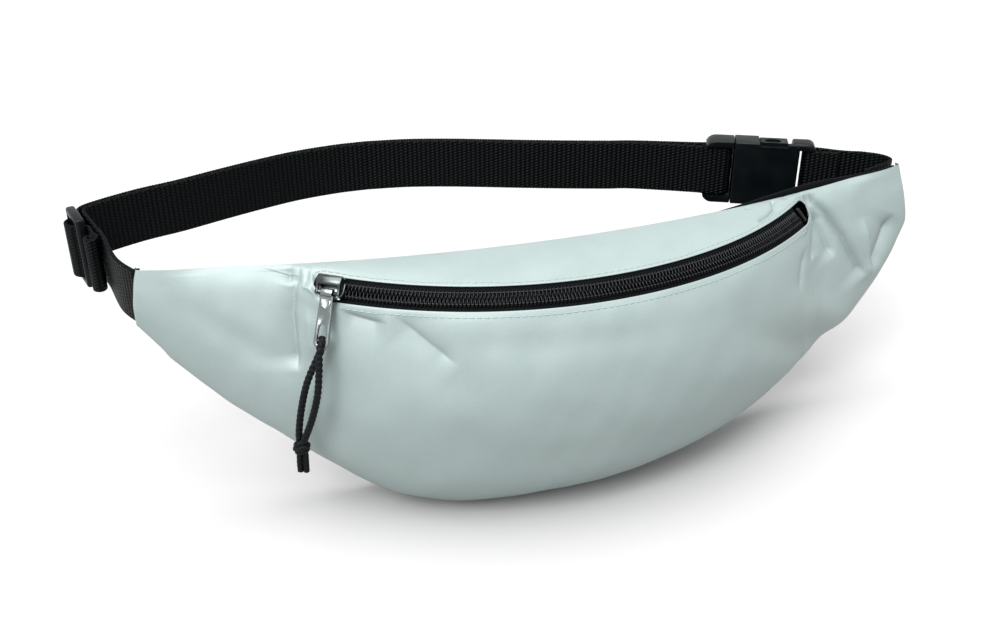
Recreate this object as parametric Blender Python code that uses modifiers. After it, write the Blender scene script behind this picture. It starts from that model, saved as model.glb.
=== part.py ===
"""Waist bag: a crescent zipped pouch on a 25 mm webbing belt with a side-release buckle.

Metres, +Z up. The origin is the middle of the back panel's rear face, level with the middle
of the belt webbing. +X runs to the right tip, -Y is the front of the bag, +Y is the waist.
"""
import math

import bmesh
import bpy
from mathutils import Matrix, Vector

MM = 0.001
GAP = 0.3 * MM                      # room between touching pieces

# bag
HALF_LENGTH = 174 * MM              # middle of the bag to the end of a wing
BACK_RADIUS = 582 * MM              # the back panel wraps the waist on this radius
TOP_Z = 12.5 * MM                   # top edge, level with the belt's top edge
TIP_DROP = 25.5 * MM                # how far down the wing's seam edge tape reaches
# the lower edge: places along the bag and how far below the top edge it lies there, in mm
LOW_EDGE = ((-174, 24.8), (-168, 34.8), (-163, 43), (-145, 61.6), (-121, 78.8), (-104, 90.1),
            (-84, 102.2), (-65, 108.6), (-45, 112), (-26, 112.7), (0, 111.8), (31, 108.4), (49, 105.4),
            (66, 102), (92, 94.9), (117, 84.2), (134, 75.6), (150, 62), (158, 52.6), (165, 43.6),
            (174, 31.4))
BACK_THICK = 1.2 * MM
FABRIC_THICK = 0.8 * MM
SEAM_ROOM = BACK_THICK + FABRIC_THICK + 2 * GAP   # back panel's rear face to a seam edge
BULGE = 17 * MM                     # how far the front swells out below the zip
DEPTH_LOW = 61 * MM                 # depth control near the bottom of the front
WING_START = 105 * MM
END_SLANT = 0.28
BINDING_LOW = 1.2 * MM              # the top binding stands this far over the top edge
BINDING_RISE = 2.6 * MM             # and this much more along the right half

# zip, whose line is an arc about an upright axis
ZIP_RADIUS = 176 * MM
ZIP_AXIS_Y = 137 * MM
ZIP_Z = 7.5 * MM
ZIP_TILT = math.radians(45)         # the chain faces up and forward
ZIP_END = math.radians(38)          # half the arc that the chain covers
SLIDER_REST = math.radians(-35.2)   # zip closed, slider at the left end
ZIP_OPENING = 5.6 * MM              # middle of the chain to a fabric edge
COIL_INNER = 0.6 * MM
COIL_OUTER = 3.0 * MM
COIL_HALF_HEIGHT = 1.0 * MM
TAPE_OUTER = ZIP_OPENING - GAP
TAPE_THICK = 0.6 * MM

# belt webbing and its plan route (x, y)
WEB_WIDTH = 25 * MM
WEB_THICK = 1.5 * MM
LAYER = 1.1 * MM                    # middle of the pair of layers to the middle of one layer
BUCKLE_LEFT = Vector((100.5, 73.5, 0)) * MM
BUCKLE_ANGLE = math.radians(-25)
BUCKLE_HALF_HEIGHT = 16.2 * MM
BUCKLE_HALF_THICK = 5.6 * MM
BUCKLE_BAR = 1.5 * MM               # half the thickness of a bar that holds webbing
TRIGLIDE_MID = Vector((-196.5, 77.5, 0)) * MM
TRIGLIDE_ANGLE = math.radians(104)  # the strap's heading where it runs through the frame

# puller
TAB_LENGTH = 22.5 * MM
TAB_WIDTH = 6.2 * MM
TAB_THICK = 1.2 * MM
TAB_TILT = math.radians(27)         # the tab leans out over the swell of the front
CORD_WIDTH = 3.0 * MM

COLOURS = {                         # base colour, roughness, metallic
    "silver_fabric": ((0.50, 0.57, 0.56), 0.45, 0.25),
    "black_fabric": ((0.012, 0.013, 0.014), 0.85, 0.0),
    "black_webbing": ((0.010, 0.011, 0.012), 0.80, 0.0),
    "black_plastic": ((0.014, 0.016, 0.017), 0.35, 0.0),
    "zip_coil": ((0.010, 0.010, 0.011), 0.30, 0.0),
    "nickel": ((0.55, 0.58, 0.58), 0.28, 1.0),
    "black_cord": ((0.010, 0.010, 0.011), 0.75, 0.0),
}

for old in list(bpy.data.objects):
    bpy.data.objects.remove(old, do_unlink=True)

BAG = bpy.data.collections.new("waist_bag")
CUTTERS = bpy.data.collections.new("cutters")
bpy.context.scene.collection.children.link(BAG)
bpy.context.scene.collection.children.link(CUTTERS)


# ------------------------------------------------------------------ helpers

def material(kind, name):
    colour, roughness, metallic = COLOURS[kind]
    mat = bpy.data.materials.new(name)
    mat.use_nodes = True
    shader = mat.node_tree.nodes["Principled BSDF"]
    shader.inputs["Base Color"].default_value = (*colour, 1)
    shader.inputs["Roughness"].default_value = roughness
    shader.inputs["Metallic"].default_value = metallic
    mat.diffuse_color = (*colour, 1)
    return mat


def add_object(name, mesh, kind, origin=None):
    """Link a mesh that is in world coordinates, with its origin moved to its joint's axis."""
    obj = bpy.data.objects.new(name, mesh)
    if origin is not None:
        mesh.transform(Matrix.Translation(-origin))
        obj.location = origin
    mesh.materials.append(material(kind, name))
    BAG.objects.link(obj)
    return obj


def mesh_from(bm, name):
    bmesh.ops.recalc_face_normals(bm, faces=bm.faces)
    mesh = bpy.data.meshes.new(name)
    bm.to_mesh(mesh)
    bm.free()
    return mesh


def block_mesh(name, low, high, frame=None):
    """A box between two corners, in the given frame."""
    low, high = Vector(low), Vector(high)
    bm = bmesh.new()
    bmesh.ops.create_cube(bm, size=1)
    bmesh.ops.scale(bm, vec=high - low, verts=bm.verts)
    bmesh.ops.translate(bm, vec=(low + high) / 2, verts=bm.verts)
    if frame is not None:
        bmesh.ops.transform(bm, matrix=frame, verts=bm.verts)
    return mesh_from(bm, name)


def cut(target, low, high, frame=None, mode="DIFFERENCE"):
    """Take a box out of a piece, or join one to it."""
    cutter = bpy.data.objects.new(target.name + "_cutter", block_mesh("cutter", low, high, frame))
    cutter.hide_render = True
    cutter.display_type = "WIRE"
    CUTTERS.objects.link(cutter)
    step = target.modifiers.new("cut", "BOOLEAN")
    step.operation = mode
    step.object = cutter


def join(target, low, high, frame=None):
    cut(target, low, high, frame, "UNION")


def bevel(obj, width, segments=2):
    step = obj.modifiers.new("round", "BEVEL")
    step.width = width
    step.segments = segments
    step.limit_method = "ANGLE"
    step.angle_limit = math.radians(40)
    step.use_clamp_overlap = True


def sheet(name, rows, thickness, kind, outward, offset=-1.0, origin=None):
    """A shell: a grid of points, thickened inwards from its outer side."""
    bm = bmesh.new()
    grid = [[bm.verts.new(p) for p in row] for row in rows]
    for a, b in zip(grid, grid[1:]):
        for i in range(len(a) - 1):
            bm.faces.new((a[i], a[i + 1], b[i + 1], b[i]))
    bm.normal_update()
    total = sum((f.normal * f.calc_area() for f in bm.faces), Vector())
    if total.dot(outward) < 0:
        bmesh.ops.reverse_faces(bm, faces=bm.faces)
    mesh = bpy.data.meshes.new(name)
    bm.to_mesh(mesh)
    bm.free()
    obj = add_object(name, mesh, kind, origin)
    step = obj.modifiers.new("thickness", "SOLIDIFY")
    step.thickness = thickness
    step.offset = offset
    step.use_even_offset = True
    return obj


def webbing(name, route, kind="black_webbing", width=WEB_WIDTH, thick=WEB_THICK, origin=None):
    """A flat strap on edge: its plan route, as high as the webbing is wide."""
    rows = [[Vector((p.x, p.y, z)) for z in (-width / 2, width / 2)] for p in route]
    return sheet(name, rows, thick, kind, Vector((0, 1, 0)), offset=0.0, origin=origin)


def swept(name, corners, start, end, steps, kind):
    """A bar along the zip's arc, from a profile (across, out) in the chain's own frame."""
    bm = bmesh.new()
    frame = zip_frame(start)
    profile = [bm.verts.new(frame @ Vector((a, 0, b))) for a, b in corners]
    face = bm.faces.new(profile)
    bmesh.ops.spin(bm, geom=[face] + list(face.edges) + profile, cent=(0, ZIP_AXIS_Y, 0),
                   axis=(0, 0, 1), angle=end - start, steps=steps, use_duplicate=False)
    return add_object(name, mesh_from(bm, name), kind)


def tube(name, points, diameter, kind, origin=None, resolution=2):
    """A cord: a smooth curve through hand-placed points, made a closed mesh."""
    curve = bpy.data.curves.new(name, "CURVE")
    curve.dimensions = "3D"
    curve.bevel_depth = diameter / 2
    curve.bevel_resolution = resolution
    curve.render_resolution_u = 0
    curve.use_fill_caps = True
    spline = curve.splines.new("POLY")
    spline.points.add(len(points) - 1)
    for slot, point in zip(spline.points, points):
        slot.co = (*point, 1)
    guide = bpy.data.objects.new(name, curve)
    BAG.objects.link(guide)
    bpy.context.view_layer.update()
    mesh = bpy.data.meshes.new_from_object(guide.evaluated_get(bpy.context.evaluated_depsgraph_get()))
    bpy.data.objects.remove(guide, do_unlink=True)
    bm = bmesh.new()
    bm.from_mesh(mesh)
    bmesh.ops.remove_doubles(bm, verts=bm.verts, dist=0.00001)
    bmesh.ops.recalc_face_normals(bm, faces=bm.faces)
    bm.to_mesh(mesh)
    bm.free()
    mesh.materials.clear()
    mesh.shade_smooth()
    return add_object(name, mesh, kind, origin)


def smooth(points, per_span):
    """Points along a Catmull-Rom curve through the given ones."""
    ends = [points[0] * 2 - points[1]] + list(points) + [points[-1] * 2 - points[-2]]
    out = []
    for p0, p1, p2, p3 in zip(ends, ends[1:], ends[2:], ends[3:]):
        for k in range(per_span):
            t = k / per_span
            out.append(0.5 * ((2 * p1) + (p2 - p0) * t + (2 * p0 - 5 * p1 + 4 * p2 - p3) * t * t
                              + (3 * p1 - p0 - 3 * p2 + p3) * t ** 3))
    return out + [points[-1]]


def arc(centre, radius, start, end, steps):
    """Plan points on an arc, angles in degrees."""
    angles = [math.radians(start + (end - start) * k / steps) for k in range(steps + 1)]
    return [centre + radius * Vector((math.cos(a), math.sin(a), 0)) for a in angles]


# ------------------------------------------------------------------ bag shape

def back_y(x):
    return BACK_RADIUS - math.sqrt(BACK_RADIUS ** 2 - x ** 2)


def zip_frame(angle):
    """Frame on the chain: x across it, down and out; y along it; z out of it."""
    out = Vector((math.sin(angle), -math.cos(angle), 0))
    along = Vector((math.cos(angle), math.sin(angle), 0))
    up = Vector((0, 0, 1))
    across = out * math.cos(ZIP_TILT) - up * math.sin(ZIP_TILT)
    normal = out * math.sin(ZIP_TILT) + up * math.cos(ZIP_TILT)
    place = Vector((0, ZIP_AXIS_Y, ZIP_Z)) + out * ZIP_RADIUS
    frame = Matrix((across, along, normal)).transposed().to_4x4()
    frame.translation = place
    return frame


OPENING_END = ZIP_END + 0.03         # the fabric's slot runs a little past the chain
OPENING_HALF_X = ZIP_RADIUS * math.sin(OPENING_END)
OPENING_END_DEPTH = back_y(OPENING_HALF_X) - ZIP_AXIS_Y + ZIP_RADIUS * math.cos(OPENING_END)


def fullness(x):
    """1 in the middle of the bag, falling to nearly nothing at a wing's end."""
    reach = HALF_LENGTH + (4 if x < 0 else 9) * MM
    return (1 - (x / reach) ** 2) ** 1.1


def lean(x):
    """The right wing's end slants: how far each millimetre lower lies further right."""
    t = min(1.0, max(0.0, (x - WING_START) / (HALF_LENGTH - WING_START)))
    return END_SLANT * t * t * (3 - 2 * t)


def place(x, depth, z):
    """A point of the bag: along it, in front of the back panel's rear face, and its height."""
    return Vector((x + lean(x) * (TOP_Z - z), back_y(x) - depth, z))


def seam_depth(x):
    """How far in front of the back panel's rear face the zip line lies."""
    if abs(x) <= OPENING_HALF_X:
        return back_y(x) - ZIP_AXIS_Y + math.sqrt(ZIP_RADIUS ** 2 - x ** 2)
    run = (abs(x) - OPENING_HALF_X) / (HALF_LENGTH - OPENING_HALF_X)
    tip_depth = SEAM_ROOM + 1.4 * MM
    return tip_depth + (OPENING_END_DEPTH - tip_depth) * (1 - run) ** 1.6


def opening(x):
    """Half the gap between the fabric edges: the zip's band, closing past its ends."""
    past = max(0.0, abs(x) - (OPENING_HALF_X - 3 * MM)) / (4.2 * MM)
    return GAP + (ZIP_OPENING - GAP) * math.sqrt(max(0.0, 1 - past ** 2))


LOW_LINE = smooth([Vector((x, drop, 0)) * MM for x, drop in LOW_EDGE], 12)


def bottom_z(x):
    for a, b in zip(LOW_LINE, LOW_LINE[1:]):
        if x <= b.x:
            share = max(0.0, (x - a.x) / (b.x - a.x))
            return TOP_Z - a.y - (b.y - a.y) * share
    return TOP_Z - LOW_LINE[-1].y


def seam_point(x, side):
    """A fabric edge at the zip: side -1 is the upper edge and +1 the lower one."""
    half = opening(x)
    square_on = math.sqrt(1 - (min(abs(x), OPENING_HALF_X) / ZIP_RADIUS) ** 2)
    depth = seam_depth(x) + side * half * math.cos(ZIP_TILT) / square_on
    height = ZIP_Z - 2.5 * MM * max(0, abs(x) - OPENING_HALF_X) / (HALF_LENGTH - OPENING_HALF_X)
    return depth, height - side * half * math.sin(ZIP_TILT)


def top_row(x, count=7):
    """Section of the top panel, from the back panel's top edge to the zip."""
    depth, height = seam_point(x, -1)
    dome = 1.6 * MM * fullness(x)
    row = []
    for k in range(count + 1):
        t = k / count
        d = SEAM_ROOM + (depth - SEAM_ROOM) * t
        row.append(place(x, d, TOP_Z + (height - TOP_Z) * t + dome * 4 * t * (1 - t)))
    return row


def front_row(x, count=16):
    """Section of the front panel, from the zip over the swell to the bottom seam."""
    depth, height = seam_point(x, 1)
    low = bottom_z(x)
    full = fullness(x)
    drop = height - low
    cage = ((depth, height),
            (depth + BULGE * full + 0.5 * MM, height - 0.20 * drop),
            (SEAM_ROOM + DEPTH_LOW * full + 1 * MM, low - 0.07 * drop * full),
            (SEAM_ROOM, low))
    row = []
    for k in range(count + 1):
        t = k / count
        weights = ((1 - t) ** 3, 3 * t * (1 - t) ** 2, 3 * t * t * (1 - t), t ** 3)
        d = sum(w * c[0] for w, c in zip(weights, cage))
        z = sum(w * c[1] for w, c in zip(weights, cage))
        row.append(place(x, d, z))
    return row


def stations(count=44):
    """Places along the bag, closer together where the zip ends."""
    even = [HALF_LENGTH * (2 * k / count - 1) for k in range(count + 1)]
    ends = [side * (OPENING_HALF_X + d * MM) for side in (-1, 1) for d in (-3, -1.6, -0.4, 0.4, 0.9, 1.6)]
    keep = [x for x in even if all(abs(x - e) > 1.6 * MM for e in ends)]
    return sorted(keep + ends)


def make_panels():
    xs = stations()
    sheet("top_panel", [top_row(x) for x in xs], FABRIC_THICK, "silver_fabric", Vector((0, 0, 1)))
    sheet("front_panel", [front_row(x) for x in xs], FABRIC_THICK, "silver_fabric",
          Vector((0, -1, 0)))
    rows = []
    for k in range(45):
        x = HALF_LENGTH * (2 * k / 44 - 1)
        low = bottom_z(x)
        rows.append([place(x, 0, TOP_Z + (low - TOP_Z) * i / 6) for i in range(7)])
    sheet("back_panel", rows, BACK_THICK, "black_fabric", Vector((0, 1, 0)))


def make_bindings():
    """Seam tapes: on the top edge, inside the bottom seam, and around each wing's end."""
    rows = []
    for k in range(45):
        x = (HALF_LENGTH - 1 * MM) * (2 * k / 44 - 1)
        rise = min(1.0, max(0.0, (x - 10 * MM) / (70 * MM)))
        fall = min(1.0, (HALF_LENGTH - x) / (22 * MM))
        high = BINDING_LOW + BINDING_RISE * rise * fall
        rows.append([place(x, 0, TOP_Z + z) for z in (GAP, (GAP + high) / 2, high)])
    sheet("top_seam_binding", rows, BACK_THICK, "black_fabric", Vector((0, -1, 0)))
    rows = []
    for k in range(37):
        x = (HALF_LENGTH - 34 * MM) * (2 * k / 36 - 1)
        low = bottom_z(x) + 4 * MM
        rows.append([place(x, BACK_THICK + 2 * GAP, low + z * MM) for z in (3, 10)])
    sheet("bottom_seam_binding", rows, 0.8 * MM, "black_fabric", Vector((0, -1, 0)), offset=1.0)
    for side, name in ((-1, "left_tip_binding"), (1, "right_tip_binding")):
        x = side * (HALF_LENGTH + GAP + 0.1 * MM)
        y = back_y(x)
        low = Vector((min(x, x + side * 1.4 * MM), y - 5.2 * MM, TOP_Z - TIP_DROP - 1 * MM))
        high = Vector((max(x, x + side * 1.4 * MM), y - 2.4 * MM, TOP_Z))
        slant = Matrix.Shear("XY", 4, (-lean(x), 0))
        upright = Matrix.Translation((0, 0, TOP_Z))
        obj = add_object(name, block_mesh(name, low, high, upright @ slant @ upright.inverted()),
                         "black_fabric")
        bevel(obj, 0.3 * MM, 1)


# ------------------------------------------------------------------ zip

def make_zip():
    tape_top = -COIL_HALF_HEIGHT - GAP
    for side, name in ((-1, "upper"), (1, "lower")):
        coil = [(side * a, b * COIL_HALF_HEIGHT) for a, b in
                ((COIL_INNER, -1), (COIL_OUTER, -1), (COIL_OUTER, 0.6), (COIL_INNER + 0.3 * MM, 1))]
        swept("zip_coil_" + name, coil, 0.024 - ZIP_END, ZIP_END - 0.024, 44, "zip_coil")
        tape = [(side * a, tape_top - t) for a, t in
                ((COIL_INNER, 0), (TAPE_OUTER, 0), (TAPE_OUTER, TAPE_THICK), (COIL_INNER, TAPE_THICK))]
        swept("zip_tape_" + name, tape, 0.012 - ZIP_END, ZIP_END - 0.012, 44, "black_fabric")
        frame = zip_frame(-ZIP_END + 0.012)
        low, high = sorted((side * COIL_INNER, side * COIL_OUTER))
        stop = add_object("zip_stop_left_" + name, block_mesh(
            "stop", (low, -0.9 * MM, -COIL_HALF_HEIGHT), (high, 0.9 * MM, COIL_HALF_HEIGHT + 0.3 * MM),
            frame), "nickel")
        bevel(stop, 0.3 * MM, 1)
    frame = zip_frame(ZIP_END - 0.011)
    reach = COIL_OUTER + 0.4 * MM
    stop = add_object("zip_stop_right", block_mesh(
        "stop", (-reach, -0.9 * MM, -COIL_HALF_HEIGHT), (reach, 0.9 * MM, COIL_HALF_HEIGHT + 0.3 * MM),
        frame), "nickel")
    bevel(stop, 0.3 * MM, 1)


SLIDER_FRAME = zip_frame(SLIDER_REST)
SLIDER_HINGE = Vector((0, ZIP_AXIS_Y, ZIP_Z))
BAR_PLACE = Vector((3.0, 0, 5.0)) * MM      # the crown's bar in the slider's frame
BAR_RADIUS = 0.7 * MM


def make_slider():
    top, bottom = 1.4 * MM, -2.3 * MM
    half_long, half_wide = 5.4 * MM, 4.5 * MM
    body = add_object("slider_body", block_mesh(
        "body", (-half_wide, -half_long, top), (half_wide, half_long, top + 1.1 * MM),
        SLIDER_FRAME), "nickel", SLIDER_HINGE)
    join(body, (-half_wide, -half_long + 1 * MM, bottom - 1.0 * MM),
         (half_wide, half_long - 1 * MM, bottom), SLIDER_FRAME)
    join(body, (-0.28 * MM, -half_long + 1 * MM, bottom - 0.2 * MM),
         (0.28 * MM, -half_long + 3.4 * MM, top + 0.2 * MM), SLIDER_FRAME)
    for side in (-1, 1):
        low, high = sorted((side * 3.5 * MM, side * half_wide))
        join(body, (low, -half_long + 0.6 * MM, -0.5 * MM), (high, half_long - 0.6 * MM, top + 0.2 * MM),
             SLIDER_FRAME)

    base = top + 1.1 * MM + GAP
    crown = add_object("slider_crown", block_mesh(
        "crown", (-3.8 * MM, -5.4 * MM, 6.2 * MM), (-0.8 * MM, 5.4 * MM, 7.2 * MM), SLIDER_FRAME),
        "nickel", SLIDER_HINGE)
    for side in (-1, 1):
        low, high = sorted((side * 4.1 * MM, side * 5.2 * MM))
        join(crown, (-3.6 * MM, low, base), (-0.9 * MM, high, 6.9 * MM), SLIDER_FRAME)
        join(crown, (-1.2 * MM, low, base), (BAR_PLACE.x + 0.8 * MM, high, BAR_PLACE.z + 0.8 * MM),
             SLIDER_FRAME)
    join(crown, (BAR_PLACE.x - BAR_RADIUS, -4.6 * MM, BAR_PLACE.z - BAR_RADIUS),
         (BAR_PLACE.x + BAR_RADIUS, 4.6 * MM, BAR_PLACE.z + BAR_RADIUS), SLIDER_FRAME)


def tab_frame():
    """Frame of the pull tab: y along the bar, -z down the tab, x out of the bag."""
    bar = SLIDER_FRAME @ BAR_PLACE
    along = SLIDER_FRAME.col[1].to_3d()
    out = Vector((along.y, -along.x, 0)).normalized()
    down = Vector((0, 0, -1)) * math.cos(TAB_TILT) + out * math.sin(TAB_TILT)
    face = along.cross(-down)
    frame = Matrix((face, along, -down)).transposed().to_4x4()
    frame.translation = bar
    return frame


TAB_FRAME = tab_frame()
TAB_HINGE = TAB_FRAME.translation.copy()


def make_tab():
    half = TAB_WIDTH / 2
    eye = BAR_RADIUS + 0.35 * MM
    wall = 0.6 * MM
    outer = eye + wall
    tab = add_object("pull_tab", block_mesh(
        "tab", (-TAB_THICK / 2, -half, -TAB_LENGTH), (TAB_THICK / 2, half, -outer + 0.2 * MM), TAB_FRAME),
        "nickel", TAB_HINGE)
    join(tab, (-outer, -half + 0.5 * MM, -outer), (outer, half - 0.5 * MM, outer), TAB_FRAME)
    cut(tab, (-eye, -half - 1 * MM, -eye), (eye, half + 1 * MM, eye), TAB_FRAME)
    cut(tab, (-3 * MM, -half + 1.1 * MM, -TAB_LENGTH + 1.6 * MM),
        (3 * MM, half - 1.1 * MM, -TAB_LENGTH + 9 * MM), TAB_FRAME)


# ------------------------------------------------------------------ puller cord

CORD_HINGE = TAB_FRAME @ Vector((0, 0, -TAB_LENGTH + 2.6 * MM))


def cord_point(side, down, out):
    """A point given along the zip, down and out from the tab's slot."""
    along = SLIDER_FRAME.col[1].to_3d()
    away = Vector((along.y, -along.x, 0)).normalized()
    return CORD_HINGE + (along * side + away * out + Vector((0, 0, -down))) * MM


def cord_routes():
    """Two strands hang from the slot, lean to the left and meet in the knot."""
    front = [cord_point(0.6, -0.4, 2.4), cord_point(0.7, 3.5, 3.8), cord_point(0.4, 9.5, 5.4),
             cord_point(-1.4, 20, 7.2), cord_point(-4.2, 32, 7.6), cord_point(-7.0, 42.4, 7.0)]
    rear = [cord_point(-0.9, 2.2, -2.4), cord_point(-2.4, 8, 0.2), cord_point(-5.0, 18, 3.4),
            cord_point(-8.0, 31, 4.4), cord_point(-10.4, 42.4, 5.2)]
    return front, rear


def make_cord():
    front, rear = cord_routes()
    tube("puller_cord_front", smooth(front, 4), CORD_WIDTH * 0.86, "black_cord", CORD_HINGE)
    tube("puller_cord_rear", smooth(rear, 4), CORD_WIDTH * 0.86, "black_cord", CORD_HINGE)
    centre = cord_point(-9.0, 47.0, 6.0)
    bm = bmesh.new()
    bmesh.ops.create_uvsphere(bm, u_segments=14, v_segments=9, radius=1)
    bmesh.ops.scale(bm, vec=Vector((3.6, 3.0, 3.5)) * MM, verts=bm.verts)
    bmesh.ops.translate(bm, vec=centre, verts=bm.verts)
    knot = add_object("puller_knot", mesh_from(bm, "knot"), "black_cord", CORD_HINGE)
    tail = Matrix.Translation(centre)
    join(knot, (-2.4 * MM, -1.3 * MM, -10 * MM), (2.0 * MM, 1.3 * MM, -1 * MM), tail)


# ------------------------------------------------------------------ buckle

BUCKLE_FRAME = Matrix.Translation(BUCKLE_LEFT) @ Matrix.Rotation(BUCKLE_ANGLE, 4, "Z")
MOUTH = 14 * MM                     # buckle's left end to the female half's mouth
FEMALE_END = 45 * MM
BUCKLE_END = 54.5 * MM
SOCKET_HALF_HEIGHT = 13.0 * MM
SOCKET_HALF_THICK = 3.6 * MM
WINDOW_HALF_THICK = 3.4 * MM
BAR_HALF = SOCKET_HALF_HEIGHT + 1 * MM
WINDOW = (24 * MM, 37 * MM)         # the side windows that the prongs snap into


def make_buckle_female():
    t, h = BUCKLE_HALF_THICK, BUCKLE_HALF_HEIGHT
    obj = add_object("buckle_female", block_mesh(
        "female", (MOUTH + GAP, -t, -h), (FEMALE_END, t, h), BUCKLE_FRAME), "black_plastic")
    bevel(obj, 1.4 * MM, 2)
    cut(obj, (MOUTH - 1 * MM, -SOCKET_HALF_THICK, -SOCKET_HALF_HEIGHT),
        (FEMALE_END - 2 * MM, SOCKET_HALF_THICK, SOCKET_HALF_HEIGHT), BUCKLE_FRAME)
    cut(obj, (WINDOW[0], -WINDOW_HALF_THICK, -h - 1 * MM), (WINDOW[1], WINDOW_HALF_THICK, h + 1 * MM),
        BUCKLE_FRAME)
    for side in (-1, 1):
        low, high = sorted((side * (SOCKET_HALF_HEIGHT + 0.1 * MM), side * (h - 0.4 * MM)))
        join(obj, (FEMALE_END - 1 * MM, -3.2 * MM, low), (BUCKLE_END, 3.2 * MM, high), BUCKLE_FRAME)
    join(obj, (BUCKLE_END - 3.2 * MM, -BUCKLE_BAR, -BAR_HALF), (BUCKLE_END - 0.8 * MM, BUCKLE_BAR, BAR_HALF),
         BUCKLE_FRAME)


def make_buckle_male(hinge):
    t, h = BUCKLE_HALF_THICK, BUCKLE_HALF_HEIGHT
    obj = add_object("buckle_male", block_mesh(
        "male", (MOUTH - 3.4 * MM, -t, -h), (MOUTH - GAP, t, h), BUCKLE_FRAME), "black_plastic", hinge)
    bevel(obj, 1.2 * MM, 2)
    for side in (-1, 1):
        low, high = sorted((side * SOCKET_HALF_HEIGHT, side * h))
        join(obj, (0, -4.2 * MM, low), (MOUTH - 2 * MM, 4.2 * MM, high), BUCKLE_FRAME)
    join(obj, (0, -BUCKLE_BAR, -BAR_HALF), (2.4 * MM, BUCKLE_BAR, BAR_HALF), BUCKLE_FRAME)
    join(obj, (5.0 * MM, -BUCKLE_BAR, -BAR_HALF), (7.2 * MM, BUCKLE_BAR, BAR_HALF), BUCKLE_FRAME)
    join(obj, (MOUTH - 1 * MM, -2.2 * MM, -2.6 * MM), (MOUTH + 19 * MM, 2.2 * MM, 2.6 * MM), BUCKLE_FRAME)


def make_prongs():
    """The two spring arms: each carries a barb that fills a side window."""
    for side, name in ((1, "prong_upper"), (-1, "prong_lower")):
        hinge = BUCKLE_FRAME @ Vector((MOUTH + 1.2 * MM, 0, side * 10.4 * MM))
        low, high = sorted((side * 9.2 * MM, side * 11.6 * MM))
        obj = add_object(name, block_mesh(
            "prong", (MOUTH, -3.0 * MM, low), (WINDOW[1] - 0.5 * MM, 3.0 * MM, high), BUCKLE_FRAME),
            "black_plastic", hinge)
        low, high = sorted((side * 11 * MM, side * 15.6 * MM))
        join(obj, (WINDOW[0] + 0.5 * MM, -3.0 * MM, low), (WINDOW[1] - 0.5 * MM, 3.0 * MM, high),
             BUCKLE_FRAME)


# ------------------------------------------------------------------ triglide and straps

TRIGLIDE_FRAME = Matrix.Translation(TRIGLIDE_MID) @ Matrix.Rotation(TRIGLIDE_ANGLE, 4, "Z")
TRIGLIDE_HALF_LONG = 8.6 * MM
TRIGLIDE_HALF_HIGH = 16 * MM
TRIGLIDE_HALF_THICK = 1.5 * MM
CENTRE_BAR = 1.1 * MM


def make_triglide():
    """A flat frame with a centre bar; its x runs along the strap."""
    a, h, t = TRIGLIDE_HALF_LONG, TRIGLIDE_HALF_HIGH, TRIGLIDE_HALF_THICK
    obj = add_object("triglide", block_mesh("triglide", (-a, -t, -h), (a, t, h), TRIGLIDE_FRAME),
                     "black_plastic", TRIGLIDE_MID)
    for side in (-1, 1):
        low, high = sorted((side * CENTRE_BAR, side * (a - 1.8 * MM)))
        cut(obj, (low, -5 * MM, -13.2 * MM), (high, 5 * MM, 13.2 * MM), TRIGLIDE_FRAME)
    bevel(obj, 0.5 * MM, 1)


def in_plan(frame, points):
    return [frame @ (Vector((x, y, 0)) * MM) for x, y in points]


def layer_route(points, shift):
    """A plan route moved sideways, to its left for a positive shift."""
    out = []
    for i, p in enumerate(points):
        step = points[min(i + 1, len(points) - 1)] - points[max(i - 1, 0)]
        normal = Vector((-step.y, step.x, 0)).normalized()
        out.append(p + normal * shift)
    return out


def back_run():
    """The middle of the doubled webbing, from past the triglide to the buckle."""
    start = [Vector(p) * MM for p in ((-183, 98.5, 0), (-171, 102.5, 0), (-150, 108.5, 0), (-120, 119, 0),
                                      (-88, 127, 0), (-55, 127.5, 0), (-22, 119.5, 0), (12, 107, 0),
                                      (46, 95, 0), (70, 87.6, 0), (88, 81.6, 0))]
    return smooth(start, 4)


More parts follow.
